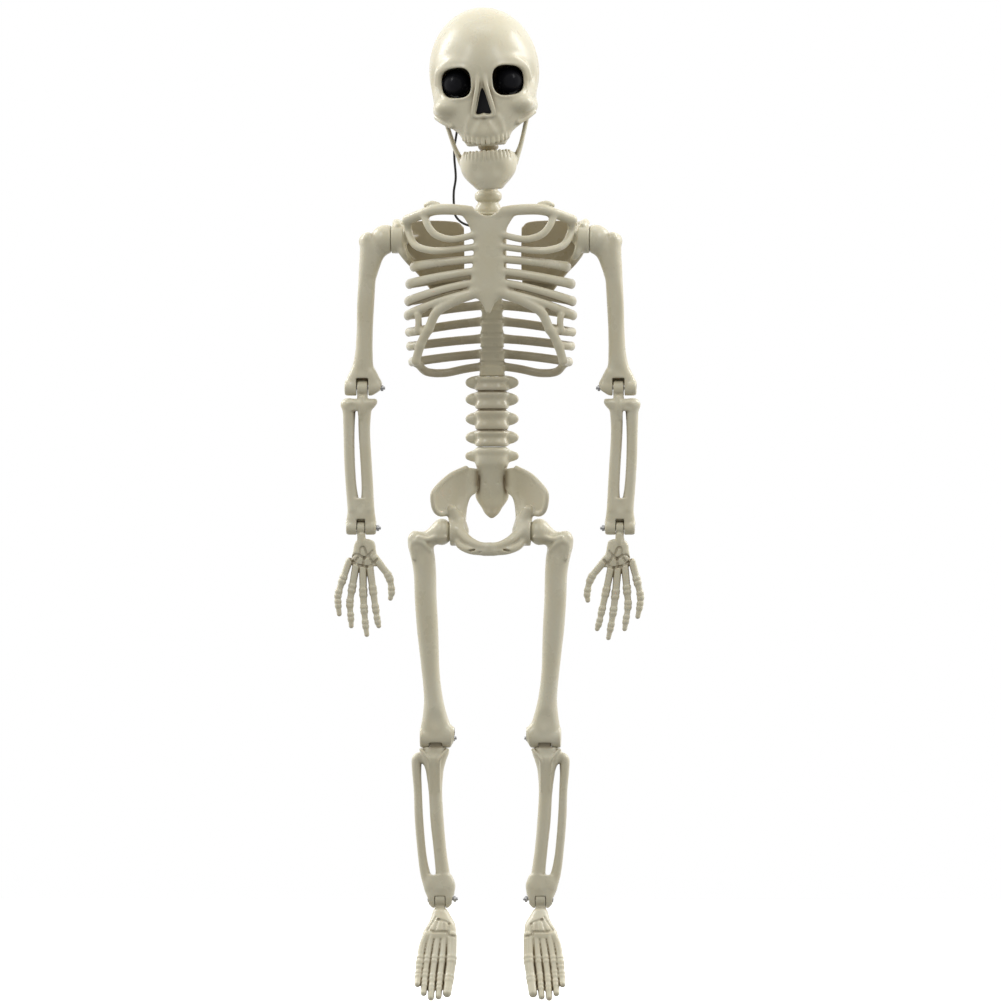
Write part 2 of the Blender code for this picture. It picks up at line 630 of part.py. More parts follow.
# ---------------------------------------------------------------- lower back and pelvis

def build_lumbar(torso):
    """Four lumbar vertebrae in one moulding, with their side processes."""
    height = LUMBAR_TOP - LUMBAR_BOTTOM
    rings, bars = [], []
    for level in range(4):
        top = LUMBAR_TOP - height * level / 4
        rings += [(0, SPINE_Y - 4, top, 13.0, 9.5), (0, SPINE_Y - 4, top - 2.5, 15.6, 11.5),
                  (0, SPINE_Y - 4, top - 11.5, 15.6, 11.5)]
        middle = top - 7.5
        bars.append(strut([(-24, SPINE_Y - 1, middle), (-14, SPINE_Y, middle + 0.5), (14, SPINE_Y, middle + 0.5),
                           (24, SPINE_Y - 1, middle)], 4.6, (0.85, 1, 1, 0.85)))
    rings.append((0, SPINE_Y - 4, LUMBAR_BOTTOM, 13.5, 9.5))
    finish("lumbar_spine", join(loft(rings, 10), *bars), BONE, torso)


WING = ((10, -243), (22, -239.5), (38, -246), (51, -259), (55.5, -269), (53.5, -280.5), (46, -286.5), (38, -286),
        (30, -290), (22, -281), (11, -266))


def build_pelvis(torso):
    """Pelvis with its wings, sockets and front arch; it also carries the last vertebra and the sacrum."""
    core = loft([(0, 24, LUMBAR_BOTTOM - GAP, 13.0, 9.5), (0, 24, -226, 15.5, 11), (0, 24, -236, 15.5, 11),
                 (0, 25, -244, 13.5, 9.5), (0, 27, -258, 14.5, 8), (0, 28, -270, 15.5, 7), (0, 25, -280, 8.5, 5),
                 (0, 21, -288, 3.0, 3.5)], 10)
    bars = [strut([(-24, 26, -231), (24, 26, -231)], 4.8)]
    for side in (1, -1):
        wing = plate(WING, -2.4, 4.8)
        shape(wing, lambda x, y, z: (x, y + 22 - (x - 12) * 0.95, z))
        bars.append(mirrored(side, wing))
        bars.append(rod("x", side * 24, side * (HIP_X - GAP), (0, HIP_Z), 13.0, 18))
        bars.append(strut([(side * 33, -3, -281), (side * 30, -1, -291), (side * 28, 0, -300)], 8.0,
                          (0.55, 0.9, 1)))
        bars.append(strut([(side * 13, 21.3, -262), (side * 24.5, 12.4, -279.6), (side * 28.4, 3.6, -294.7)],
                          5.3))
        bars.append(strut([(side * 29, -3, -306), (side * 26, -12, -315), (side * 17, -19, -319.5),
                           (side * 6, -22, -319.8), (side * -4, -22.2, -319.6)], 5.2))
        bars.append(strut([(side * 28, -8, -300), (side * 19, -18, -309), (side * 5, -23, -316)], 4.6))
    pelvis = join(core, *bars, solver="MANIFOLD")
    cut(pelvis, *[rod("x", side * 22, side * 60, (0, HIP_Z), PIN_HOLE_R, 12) for side in (1, -1)])
    finish("pelvis", pelvis, BONE, torso)
    for name, side in SIDES.items():
        pin = rod("x", 23.5, 50.0, (0, HIP_Z), PIN_R, 12)
        finish("hip_pin_" + name, mirrored(side, pin), STEEL, torso)


# ---------------------------------------------------------------- limbs

def build_upper_arm(name, side, shoulder):
    rings = [(111, 0, -18.5, 4.5, 5.0), (110, 0, -22.0, 8.8, 9.5), (109.0, 0, -29, 10.8, 12.0),
             (109.4, 0, -37, 10.6, 12.2), (111.6, 0, -48, 9.3, 10.6), (113.5, 0, -60, 8.4, 9.0),
             (115.5, 0, -92, 8.0, 8.0), (117.0, 0, -132, 8.0, 7.8), (118.2, 0.4, -149, 10.0, 8.0),
             (ELBOW_X, 0.9, -158, 14.2, 8.5), (ELBOW_X, 0.9, -166, 16.6, 8.5)]
    arm = join(loft(rings), rod("x", SHOULDER_X + GAP, 108, (0, SHOULDER_Z), 12.7, 18),
               rod("x", ELBOW_X - ELBOW_HALF, ELBOW_X + ELBOW_HALF, (0, ELBOW_Z), 7.0, 12))
    cut(arm, box((ELBOW_X - 5.4, ELBOW_X + 5.4), (-16, 7.5), (-190, -159.5)),
        *hinge_hole(ELBOW_X, ELBOW_HALF, ELBOW_Z), rod("x", 80, 105, (0, SHOULDER_Z), PIN_HOLE_R, 12))
    finish("upper_arm_" + name, mirrored(side, arm), BONE, shoulder)
    add_hinge_screw("elbow", name, side, ELBOW_X, ELBOW_HALF, ELBOW_Z, shoulder)


def build_forearm(name, side, elbow):
    top = loft([(121, 0, -178.3, 12.5, 5.8), (122.5, 0, -182.5, 16.0, 8.0), (123.4, 0, -187, 14.5, 8.2),
                (123.6, 0, -191.5, 12.6, 7.5)])
    ulna = strut([(130.5, 0, -188), (131, 0, -208), (130.5, 0, -235), (128.5, 0, -262), (126, 0, -280)], 5.4,
                 (1.1, 0.95, 0.95, 0.95, 1.2))
    radius = strut([(116.5, 0, -188), (117, 0, -208), (115.0, 0, -240), (113.8, 0, -262), (114, 0, -280)], 5.6,
                   (1.1, 0.95, 0.95, 1.0, 1.2))
    end = loft([(120.2, 0, -271, 11.5, 6.5), (WRIST_X, 0, -282, 12.6, 7.0), (WRIST_X, 0, -292, 14.0, 6.6)])
    arm = join(top, ulna, radius, end,
               rod("x", WRIST_X - WRIST_HALF, WRIST_X + WRIST_HALF, (0, WRIST_Z), 6.0, 12),
               box((WRIST_X - WRIST_HALF, WRIST_X + WRIST_HALF), (-5.2, 5.2), (WRIST_Z, -290)),
               rod("x", ELBOW_X - 5.0, ELBOW_X + 5.0, (0, ELBOW_Z), 7.0, 12),
               box((ELBOW_X - 4.98, ELBOW_X + 4.98), (-4.8, 4.8), (-182.3, ELBOW_Z - 1.3)))
    cut(arm, box((WRIST_X - 4.4, WRIST_X + 4.4), (-16, 16), (-320, -290.4)),
        *hinge_hole(WRIST_X, WRIST_HALF, WRIST_Z), rod("x", 90, 145, (0, ELBOW_Z), HOLE_R, 12))
    finish("forearm_" + name, mirrored(side, arm), BONE, elbow)
    add_hinge_screw("wrist", name, side, WRIST_X, WRIST_HALF, WRIST_Z, elbow)


# Each finger: distances outwards from the wrist's middle and heights below its axis
FINGERS = (((10, -30), (16.5, -46), (21.5, -61), (20.8, -81)),
           ((5, -33), (8.8, -54), (10.6, -67.5), (9.3, -92)),
           ((-1, -35), (-1.8, -59), (-2.0, -76), (-4.2, -99.5)),
           ((-7, -35), (-10.3, -57), (-12.8, -75), (-15.4, -92)),
           ((-11, -26), (-22.0, -38), (-29.5, -52), (-27.0, -67.5)))


def build_hand(name, side, wrist, lean):
    """Wrist block and five fingers; the fingers lean sideways by a share of their length."""
    palm = loft([(WRIST_X - 1, 0, -307.5, 7.5, 4.6), (WRIST_X - 3, 0, -313, 12.4, 5.6),
                 (WRIST_X - 2, 0, -326, 13.4, 5.6), (WRIST_X - 1.5, -0.5, -334, 12.5, 4.4)])
    bars = [rod("x", WRIST_X - 4.0, WRIST_X + 4.0, (0, WRIST_Z), 5.8, 12),
            box((WRIST_X - 3.98, WRIST_X + 3.98), (-3.9, 3.9), (-312.3, WRIST_Z - 1.3))]
    for finger in FINGERS:
        route = [(WRIST_X + out, -1.0 - 0.00045 * down * down, WRIST_Z + down) for out, down in finger]
        bars.append(strut(route, 3.7, (1.0, 1.0, 0.95, 0.6)))
    hand = join(palm, *bars)
    shape(hand, lambda x, y, z: (x + lean * min(0.0, z + 308), y, z))
    cut(hand, rod("x", 90, 145, (0, WRIST_Z), HOLE_R, 12))
    finish("hand_" + name, mirrored(side, hand), BONE, wrist)


def build_thigh(name, side, hip):
    rings = [(66, 0, -299.0, 6.0, 6.5), (66.5, 0, -303, 9.6, 9.8), (65, 0, -314, 11.8, 11.5),
             (62.4, 0, -328, 11.0, 10.6), (60.0, 0, -362, 10.2, 9.8), (58.2, 0, -392, 10.0, 9.2),
             (55.7, 0, -427, 8.3, 8.4), (52.6, 0, -457, 9.0, 8.8), (51.4, 0, -471, 11.4, 9.6),
             (KNEE_X, 0.5, -482, 14.2, 10.2), (KNEE_X, 0.5, -494, 14.8, 9.4)]
    neck = rod("x", HIP_X + GAP, 62, (0, HIP_Z), 12.0, 18, 10.5)
    thigh = join(loft(rings), neck, rod("x", KNEE_X - KNEE_HALF, KNEE_X + KNEE_HALF, (0, KNEE_Z), 9.0, 14))
    cut(thigh, box((KNEE_X - 6.0, KNEE_X + 6.0), (-7.4, 20), (-520, -482.6)),
        *hinge_hole(KNEE_X, KNEE_HALF, KNEE_Z), rod("x", 20, 51.5, (0, HIP_Z), PIN_HOLE_R, 12))
    finish("thigh_" + name, mirrored(side, thigh), BONE, hip)
    add_hinge_screw("knee", name, side, KNEE_X, KNEE_HALF, KNEE_Z, hip)


def build_shin(name, side, knee):
    top = loft([(51.6, 1.0, -503.5, 13.4, 8.6), (52.0, 0.5, -508, 13.4, 9.4), (52.5, 0, -516, 10.0, 8.6),
                (51.5, 0, -528, 7.4, 7.6)])
    tibia = strut([(52, 0, -514), (51, 0, -540), (49.5, 0, -567), (46.8, 0, -595), (44.2, 0, -618),
                   (45, 0, -630)],
                  6.6, (1.2, 0.95, 0.95, 0.9, 1.0, 1.3))
    fibula = strut([(58, 0.5, -512), (68.0, 1, -512), (68.2, 1, -522), (67.3, 1, -540), (66.2, 1, -567),
                    (63.6, 1, -597), (60.6, 1, -616), (56, 0.5, -630)], 4.2,
                   (1.2, 1.3, 1.05, 0.9, 0.95, 0.95, 1.1, 1.3))
    end = loft([(47.5, 0, -619, 12.0, 7.0), (47.0, 0, -627, 14.4, 7.6), (ANKLE_X, 0, -636, 13.6, 7.4)])
    shin = join(top, tibia, fibula, end,
                rod("x", ANKLE_X - ANKLE_HALF, ANKLE_X + ANKLE_HALF, (0, ANKLE_Z), 7.2, 12),
                rod("x", KNEE_X - 5.6, KNEE_X + 5.6, (0, KNEE_Z), 6.9, 12),
                box((KNEE_X - 5.58, KNEE_X + 5.58), (-5.4, 6.2), (-509.3, KNEE_Z - 1.3)))
    cut(shin, box((ANKLE_X - 5.0, ANKLE_X + 5.0), (-16, 16), (-660, -632.2)),
        *hinge_hole(ANKLE_X, ANKLE_HALF, ANKLE_Z), rod("x", 20, 80, (0, KNEE_Z), HOLE_R, 12))
    finish("shin_" + name, mirrored(side, shin), BONE, knee)
    add_hinge_screw("ankle", name, side, ANKLE_X, ANKLE_HALF, ANKLE_Z, knee)


# Each toe: x where its bone starts and ends, and how far down its tip reaches
TOES = ((35, 40, -727), (43, 47.5, -730.5), (49.5, 54.5, -731.5), (55.5, 61, -728), (61.5, 66, -719.5))


def build_foot(name, side, ankle):
    """Foot pointing down and forward: tongue, heel, instep and five toes."""
    instep = loft([(ANKLE_X - 0.5, -3, -652, 7.0, 7.0), (ANKLE_X - 1, -8, -662, 11.0, 9.0),
                   (46.8, -16, -676, 16.6, 8.5), (48.8, -25, -692, 18.4, 6.8), (50, -33, -704, 18.4, 5.0)], 12)
    heel = strut([(ANKLE_X, -4, -657), (ANKLE_X, 10, -661), (ANKLE_X, 22, -664)], 8.0, (1.0, 1.0, 0.9))
    bars = [heel, rod("x", ANKLE_X - 4.6, ANKLE_X + 4.6, (0, ANKLE_Z), 7.0, 12),
            box((ANKLE_X - 4.58, ANKLE_X + 4.58), (-4.8, 4.8), (-656.4, ANKLE_Z - 1.3))]
    for start_x, tip_x, tip_z in TOES:
        fall = (-700 - tip_z) * 0.62
        bars.append(strut([(start_x, -25, -690), ((start_x + 2 * tip_x) / 3, -34, -705),
                           (tip_x, -33 - fall, tip_z)], 4.2, (1.0, 1.0, 0.8)))
    foot = join(instep, *bars)
    cut(foot, rod("x", 20, 80, (0, ANKLE_Z), HOLE_R, 12))
    finish("foot_" + name, mirrored(side, foot), BONE, ankle)


# ---------------------------------------------------------------- assembly

def main():
    torso = pivot("hang_point", (0, 0, 0))
    neck = pivot("head_turn", (NECK_X, NECK_Y, 0), torso)
    head = pivot("head_nod", (NECK_X, NECK_Y, NOD_Z), neck)
    jaw = pivot("jaw_open", head_place(0, JAW_Y, JAW_UP), head)
    switch = pivot("switch_slide", (0, BOX_BACK, BOX_BOTTOM + 6.0), torso)
    build_skull(head)
    build_eyes(head)
    build_jaw(jaw, head)
    build_neck_socket(head)
    build_grommet(head)
    build_neck(neck)
    build_rib_cage_front(torso)
    build_rib_cage_back(torso)
    build_battery_box(torso, switch)
    build_wire(torso)
    build_lumbar(torso)
    build_pelvis(torso)
    for name, side in SIDES.items():
        build_scapula(name, side, torso)
        shoulder = pivot("shoulder_" + name, (side * SHOULDER_X, 0, SHOULDER_Z), torso)
        elbow = pivot("elbow_" + name, (side * ELBOW_X, 0, ELBOW_Z), shoulder)
        wrist = pivot("wrist_" + name, (side * WRIST_X, 0, WRIST_Z), elbow)
        build_upper_arm(name, side, shoulder)
        build_forearm(name, side, elbow)
        build_hand(name, side, wrist, 0.075 if name == "left" else 0.0)
        hip = pivot("hip_" + name, (side * HIP_X, 0, HIP_Z), torso)
        knee = pivot("knee_" + name, (side * KNEE_X, 0, KNEE_Z), hip)
        ankle = pivot("ankle_" + name, (side * ANKLE_X, 0, ANKLE_Z), knee)
        build_thigh(name, side, hip)
        build_shin(name, side, knee)
        build_foot(name, side, ankle)


main()
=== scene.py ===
"""Looks of the hanging skeleton figure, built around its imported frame.

Each bone is modelled like clay: a grid of signed distances in millimetres, to which rods, domes
and lofts are added and from which grooves are cut.  The zero surface then becomes a smooth mesh.
"""
import json
import math

import bpy
import numpy as np
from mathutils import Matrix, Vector


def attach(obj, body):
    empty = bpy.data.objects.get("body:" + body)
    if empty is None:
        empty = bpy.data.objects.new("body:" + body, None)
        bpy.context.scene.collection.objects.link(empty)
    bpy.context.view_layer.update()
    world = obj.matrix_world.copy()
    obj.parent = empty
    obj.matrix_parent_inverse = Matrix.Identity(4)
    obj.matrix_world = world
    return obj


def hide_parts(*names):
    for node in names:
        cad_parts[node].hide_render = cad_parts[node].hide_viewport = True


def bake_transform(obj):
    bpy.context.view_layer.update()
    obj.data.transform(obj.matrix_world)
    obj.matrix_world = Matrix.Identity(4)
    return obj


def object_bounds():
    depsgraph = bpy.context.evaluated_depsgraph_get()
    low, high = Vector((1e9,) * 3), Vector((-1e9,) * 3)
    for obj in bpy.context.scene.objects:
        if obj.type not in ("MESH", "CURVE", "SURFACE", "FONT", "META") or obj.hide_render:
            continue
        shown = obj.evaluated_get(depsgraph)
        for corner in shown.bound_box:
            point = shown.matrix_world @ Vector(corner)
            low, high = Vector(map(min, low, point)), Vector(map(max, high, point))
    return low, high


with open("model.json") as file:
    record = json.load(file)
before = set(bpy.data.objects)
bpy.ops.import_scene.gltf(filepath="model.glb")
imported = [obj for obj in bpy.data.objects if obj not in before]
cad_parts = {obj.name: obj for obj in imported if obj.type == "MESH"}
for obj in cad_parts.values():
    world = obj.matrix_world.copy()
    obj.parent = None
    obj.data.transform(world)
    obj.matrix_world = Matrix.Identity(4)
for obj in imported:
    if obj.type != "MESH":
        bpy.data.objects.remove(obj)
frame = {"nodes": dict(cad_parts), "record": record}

CAD_LOW, CAD_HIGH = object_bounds()
MM = 0.001
BODY = {node: body for body, nodes in frame["record"]["behaviour"]["bodies"].items() for node in nodes}
SIDES = {"left": 1, "right": -1}
GAP = 0.35

# Joint axes and main sizes, in millimetres, as in the frame
NECK_X, NECK_Y, NOD_Z, HEAD_ROLL = -2.5, 8.0, 72.0, -3.5
JAW_Y, JAW_UP = -14.0, 15.0
SHOULDER_X, SHOULDER_Z = 91.7, -30.5
ELBOW_X, ELBOW_Z = 118.5, -168.2
WRIST_X, WRIST_Z = 119.8, -297.5
HIP_X, HIP_Z = 37.7, -301.0
KNEE_X, KNEE_Z = 50.4, -491.6
ANKLE_X, ANKLE_Z = 46.5, -640.3
SCREW_R, HOLE_R, NUT_R, NUT_H, HEAD_R, HEAD_H, RECESS_R, RECESS = 1.5, 1.9, 3.2, 2.4, 3.1, 1.8, 3.7, 2.4
ELBOW_HALF, WRIST_HALF, KNEE_HALF, ANKLE_HALF = 16.6, 14.0, 14.8, 12.0
CRANIUM_C, CRANIUM_R, SKULL_WALL, SEAM_Y = (0, 0, 53), (50.7, 62, 58.6), 2.3, -8.0
EYE_X, EYE_UP, SOCKET_POWER = 24.5, 41.7, 0.72
STERNUM_Y, SPINE_Y, RIB_BACK_Y = -36.0, 28.0, 36.0
LUMBAR_TOP, LUMBAR_BOTTOM = -157.3, -222.2
BOX_HALF_W, BOX_FRONT, BOX_BACK, BOX_TOP, BOX_BOTTOM, COVER_THICK = 12.4, 35.6, 49.0, -8.0, -78.0, 1.8
WIRE_EXIT, WIRE_R = (-29.0, 8.0, 4.0), 1.1


# ---------------------------------------------------------------- clay

REACH = 8.0             # distances are kept true this far from the surface
CREASE, BAY = 1.3, 5.0  # how far out a recess is looked for: a fine line, or a whole hollow


def blend_min(a, b, k):
    """The lower of two distances, rounded over a width of k."""
    low = np.minimum(a, b)
    if k <= 0:
        return low
    near = np.maximum(k - np.abs(a - b), 0.0) / k
    return low - near * near * near * (k / 6.0)


class Clay:
    """A block of space holding signed distances in mm, negative inside the solid."""

    def __init__(self, low, high, cell):
        self.cell = cell
        self.low = np.array(low, float)
        self.axes = [np.arange(a, b + cell, cell, dtype=np.float32) for a, b in zip(low, high)]
        self.field = np.full([len(axis) for axis in self.axes], REACH, np.float32)
        self.side = 1

    def near(self, form, margin):
        """The part of the grid around a form, and its distances there, mirrored for the right side."""
        low, high, distance = form
        if self.side < 0:
            low, high = (-high[0], *low[1:]), (-low[0], *high[1:])
        part = tuple(slice(*np.searchsorted(axis, (a - margin, b + margin)))
                     for axis, a, b in zip(self.axes, low, high))
        x, y, z = (axis[cut] for axis, cut in zip(self.axes, part))
        y, z = y[None, :, None], z[None, None, :]
        if self.side < 0:
            return part, distance(-x[::-1, None, None], y, z)[::-1]
        return part, distance(x[:, None, None], y, z)

    def add(self, form, k=0.0):
        """Join a form on, rounding the seam over a width of k."""
        part, distance = self.near(form, REACH)
        self.field[part] = blend_min(self.field[part], distance, k)
        return self

    def cut(self, form, k=0.0):
        """Take a form away, rounding the edge over a width of k."""
        part, distance = self.near(form, k + 2 * self.cell)
        self.field[part] = -blend_min(-self.field[part], distance, k)
        return self

    def sample(self, points, field=None):
        """Distances at points, read between the grid's own."""
        field = self.field if field is None else field
        top = np.array(field.shape) - 1.001
        place = (points - self.low) / self.cell
        at = np.clip(place, 0, top)
        outside = np.linalg.norm(place - at, axis=1) * self.cell
        cell = at.astype(int)
        share = at - cell
        total = np.zeros(len(points))
        for i, j, k in CORNERS:
            weight = np.ones(len(points))
            for axis, step in enumerate((i, j, k)):
                weight *= share[:, axis] if step else 1 - share[:, axis]
            total += weight * field[cell[:, 0] + i, cell[:, 1] + j, cell[:, 2] + k]
        return total + outside

    def front(self, x, z):
        """How far forward the surface lies at x and z."""
        i, k = (int(round((value - self.low[axis]) / self.cell)) for value, axis in ((x * self.side, 0), (z, 2)))
        return float(self.axes[1][np.argmax(self.field[i, :, k] < 0)])

    def groove(self, route, radius, k, sink):
        """Draw a line of (x, z) points into the front of the surface."""
        if len(route) == 2:
            route = [route[0], [(a + b) / 2 for a, b in zip(*route)], route[1]]
        rows = [(x, self.front(x, z) + sink - 0.1 * radius, z, radius) for x, z in spline(route, 4)]
        return self.cut(bar(rows, steps=1), k)

    def skin(self, field=None):
        """Points, four-sided faces and painted shade of the surface, darker in its creases and recesses."""
        field = self.field if field is None else field
        points, faces = surface_net(field)
        points = relax(points, faces)
        points = points * self.cell + self.low
        normals = point_normals(points, faces)
        # Painted shade: the closer the solid lies just outside a point, across a fine crease or a whole recess, the
        # darker the point is coloured.
        tight, wide = (1 - self.sample(points + reach * normals, field) / reach for reach in (CREASE, BAY))
        painted_shade = np.clip(0.75 * tight, 0, 1) + np.clip(0.9 * wide - 0.12, 0, 1)
        return points, faces, np.clip(painted_shade, 0, 1.6)


def each_side(*clays):
    """Shape the figure's left, then its right as a mirror image."""
    for side in (1, -1):
        for clay in clays:
            clay.side = side
        yield
    for clay in clays:
        clay.side = 1


CORNERS = [(i, j, k) for i in (0, 1) for j in (0, 1) for k in (0, 1)]


def surface_net(field):
    """One point in each grid cell that the surface crosses, and one face across each crossed edge."""
    solid = field < 0
    n = [size - 1 for size in field.shape]
    count = np.zeros(n, np.uint8)
    for i, j, k in CORNERS:
        count += solid[i:i + n[0], j:j + n[1], k:k + n[2]]
    cells = np.argwhere((count > 0) & (count < 8))
    number = np.full(n, -1, np.int32)
    number[tuple(cells.T)] = np.arange(len(cells))
    values = {c: field[cells[:, 0] + c[0], cells[:, 1] + c[1], cells[:, 2] + c[2]] for c in CORNERS}
    total, hits = np.zeros((len(cells), 3)), np.zeros(len(cells))
    for axis in range(3):
        for corner in CORNERS:
            if corner[axis]:
                continue
            other = list(corner)
            other[axis] = 1
            a, b = values[corner], values[tuple(other)]
            crossed = (a < 0) != (b < 0)
            share = np.where(crossed, a / np.where(crossed, a - b, 1), 0)
            for i in range(3):
                total[:, i] += np.where(crossed, corner[i] + (share if i == axis else 0), 0)
            hits += crossed
    points = cells + total / hits[:, None]
    faces = []
    for axis in range(3):
        u, v = (axis + 1) % 3, (axis + 2) % 3
        here, there = [slice(1, -1)] * 3, [slice(1, -1)] * 3
        here[axis], there[axis] = slice(0, -1), slice(1, None)
        start = solid[tuple(here)]
        spots = np.argwhere(start != solid[tuple(there)])
        outward = start[tuple(spots.T)]
        spots[:, u] += 1
        spots[:, v] += 1
        ring = []
        for du, dv in ((-1, -1), (0, -1), (0, 0), (-1, 0)):
            place = spots.copy()
            place[:, u] += du
            place[:, v] += dv
            ring.append(number[tuple(place.T)])
        ring = np.stack(ring, 1)
        ring[~outward] = ring[~outward][:, ::-1]
        faces.append(ring)
    return points, np.concatenate(faces)


def relax(points, faces, rounds=2):
    """Even out the net without shrinking it."""
    one = np.concatenate([faces[:, i] for i in range(4)])
    two = np.concatenate([faces[:, (i + 1) % 4] for i in range(4)])
    count = np.bincount(one, minlength=len(points)) + np.bincount(two, minlength=len(points))
    for share in (0.6, -0.62) * rounds:
        total = [np.bincount(one, points[two, i], len(points)) + np.bincount(two, points[one, i], len(points))
                 for i in range(3)]
        points = points + share * (np.stack(total, 1) / count[:, None] - points)
    return points


def point_normals(points, faces):
    across = np.cross(points[faces[:, 2]] - points[faces[:, 0]], points[faces[:, 3]] - points[faces[:, 1]])
    total = np.zeros_like(points)
    for corner in range(4):
        for i in range(3):
            total[:, i] += np.bincount(faces[:, corner], across[:, i], len(points))
    return total / np.maximum(np.linalg.norm(total, axis=1, keepdims=True), 1e-9)


# ---------------------------------------------------------------- forms: (lowest, highest, distance)

def spline(points, steps=6):
    """Rows on a smooth curve through the given rows."""
    rows = np.array(points, float)
    if len(rows) < 3:
        return rows
    padded = np.vstack([2 * rows[0] - rows[1], rows, 2 * rows[-1] - rows[-2]])
    t = np.linspace(0, 1, steps, endpoint=False)[:, None]
    parts = [0.5 * (2 * b + (c - a) * t + (2 * a - 5 * b + 4 * c - d) * t * t + (3 * b - a - 3 * c + d) * t ** 3)
             for a, b, c, d in zip(padded, padded[1:], padded[2:], padded[3:])]
    return np.vstack(parts + [rows[-1:]])


def ease(at, knots, values):
    """A smooth curve through values at rising knots."""
    knots, values = np.asarray(knots, float), np.asarray(values, float)
    slopes = np.gradient(values, knots)
    i = np.clip(np.searchsorted(knots, at) - 1, 0, len(knots) - 2)
    h = knots[i + 1] - knots[i]
    t = np.clip((at - knots[i]) / h, 0, 1)
    return ((2 * t ** 3 - 3 * t * t + 1) * values[i] + (t ** 3 - 2 * t * t + t) * h * slopes[i]
            + (3 * t * t - 2 * t ** 3) * values[i + 1] + (t ** 3 - t * t) * h * slopes[i + 1]).astype(np.float32)


def dome(centre, radii, tilt=0.0):
    """An ellipsoid, which may be tilted about Y."""
    c, r = np.array(centre, float), np.array(radii, float)
    reach = r if tilt == 0 else np.full(3, r.max())
    cos, sin = math.cos(math.radians(tilt)), math.sin(math.radians(tilt))

    def distance(x, y, z):
        x, y, z = x - c[0], y - c[1], z - c[2]
        x, z = cos * x + sin * z, cos * z - sin * x
        q = np.sqrt((x / r[0]) ** 2 + (y / r[1]) ** 2 + (z / r[2]) ** 2)
        g = np.sqrt((x / r[0] ** 2) ** 2 + (y / r[1] ** 2) ** 2 + (z / r[2] ** 2) ** 2)
        return (q - 1) * (q + 1e-6) / (g + 1e-6 / r.min())
    return c - reach, c + reach, distance


def bar(points, stretch=(1, 1, 1), steps=5):
    """A round rod through rows (x, y, z, radius); stretch makes its section oval."""
    s = np.array(stretch, float)
    rows = spline(points, steps)
    rows[:, :3] /= s
    low = ((rows[:, :3] - rows[:, 3:]) * s).min(0)
    high = ((rows[:, :3] + rows[:, 3:]) * s).max(0)

    def distance(x, y, z):
        shape = np.broadcast_shapes(x.shape, y.shape, z.shape)
        best = np.full(shape, REACH, np.float32)
        flat = [(x / s[0]).astype(np.float32), (y / s[1]).astype(np.float32), (z / s[2]).astype(np.float32)]
        for a, b in zip(rows, rows[1:]):
            reach = max(a[3], b[3]) + REACH
            near, far = np.minimum(a, b) - reach, np.maximum(a, b) + reach
            part = tuple(slice(*np.searchsorted(flat[i].ravel(), (near[i], far[i]))) for i in range(3))
            px, py, pz = flat[0][part[0]] - a[0], flat[1][:, part[1]] - a[1], flat[2][:, :, part[2]] - a[2]
            d = (b - a)[:3]
            t = np.clip((px * d[0] + py * d[1] + pz * d[2]) / max(float(d @ d), 1e-6), 0, 1)
            away = np.sqrt((px - t * d[0]) ** 2 + (py - t * d[1]) ** 2 + (pz - t * d[2]) ** 2)
            best[part] = np.minimum(best[part], away - (a[3] + (b[3] - a[3]) * t))
        return best
    return low, high, distance


ORDER = {"z": (0, 1, 2), "y": (0, 2, 1)}


def loft(stations, power=2.0, lip=2.0, axis="z"):
    """A solid through oval rings (across, deep, along, half width, half depth)."""
    rows = np.array(sorted(stations, key=lambda row: row[2]), float)
    start, end = rows[0, 2], rows[-1, 2]
    low = np.array([(rows[:, 0] - rows[:, 3]).min(), (rows[:, 1] - rows[:, 4]).min(), start])
    high = np.array([(rows[:, 0] + rows[:, 3]).max(), (rows[:, 1] + rows[:, 4]).max(), end])
    order = ORDER[axis]
    back = [order.index(i) for i in range(3)]

    def distance(*place):
        u, v, w = (place[i] for i in order)
        cu, cv, a, b = (ease(w, rows[:, 2], rows[:, i]) for i in (0, 1, 3, 4))
        a, b = np.maximum(a, 0.2), np.maximum(b, 0.2)
        u, v = np.abs(u - cu) / a + 1e-5, np.abs(v - cv) / b + 1e-5
        if power == 2.0:
            q = np.sqrt(u * u + v * v)
            slope = np.sqrt((u / a) ** 2 + (v / b) ** 2) / q
        else:
            up, vp = u ** (power - 1), v ** (power - 1)
            q = (up * u + vp * v) ** (1 / power)
            slope = np.sqrt((up / a) ** 2 + (vp / b) ** 2) / q ** (power - 1)
        side = (q - 1) / slope
        cap = np.abs(w - (start + end) / 2) - (end - start) / 2
        return -blend_min(-side, -cap + 0 * side, lip)
    return low[back], high[back], distance


def rings_at(across, deep, *rings):
    """Rows for a loft whose rings (along, half width, half depth) all have one centre line."""
    return [(across, deep, *ring) for ring in rings]


def disc(axis, start, end, centre, radius, lip=0.6):
    """A cylinder along an axis; centre holds the two other coordinates in order."""
    main = "xyz".index(axis)
    others = [i for i in range(3) if i != main]
    low, high = np.zeros(3), np.zeros(3)
    low[main], high[main] = min(start, end), max(start, end)
    for i, value in zip(others, centre):
        low[i], high[i] = value - radius, value + radius

    def distance(*place):
        u, v, w = place[others[0]] - centre[0], place[others[1]] - centre[1], place[main]
        side = np.sqrt(u * u + v * v) - radius
        cap = np.abs(w - (start + end) / 2) - abs(end - start) / 2
        return -blend_min(-side, -cap + 0 * side, lip)
    return low, high, distance


def block(x, y, z, lip=0.5):
    """A box with rounded edges."""
    low = np.array([min(pair) for pair in (x, y, z)], float)
    high = np.array([max(pair) for pair in (x, y, z)], float)
    c, h = (low + high) / 2, (high - low) / 2 - lip

    def distance(*place):
        q = [np.abs(p - c[i]) - h[i] for i, p in enumerate(place)]
        outside = np.sqrt(sum(np.maximum(value, 0) ** 2 for value in q))
        return outside + np.minimum(np.maximum(np.maximum(q[0], q[1]), q[2]), 0) - lip
    return low, high, distance


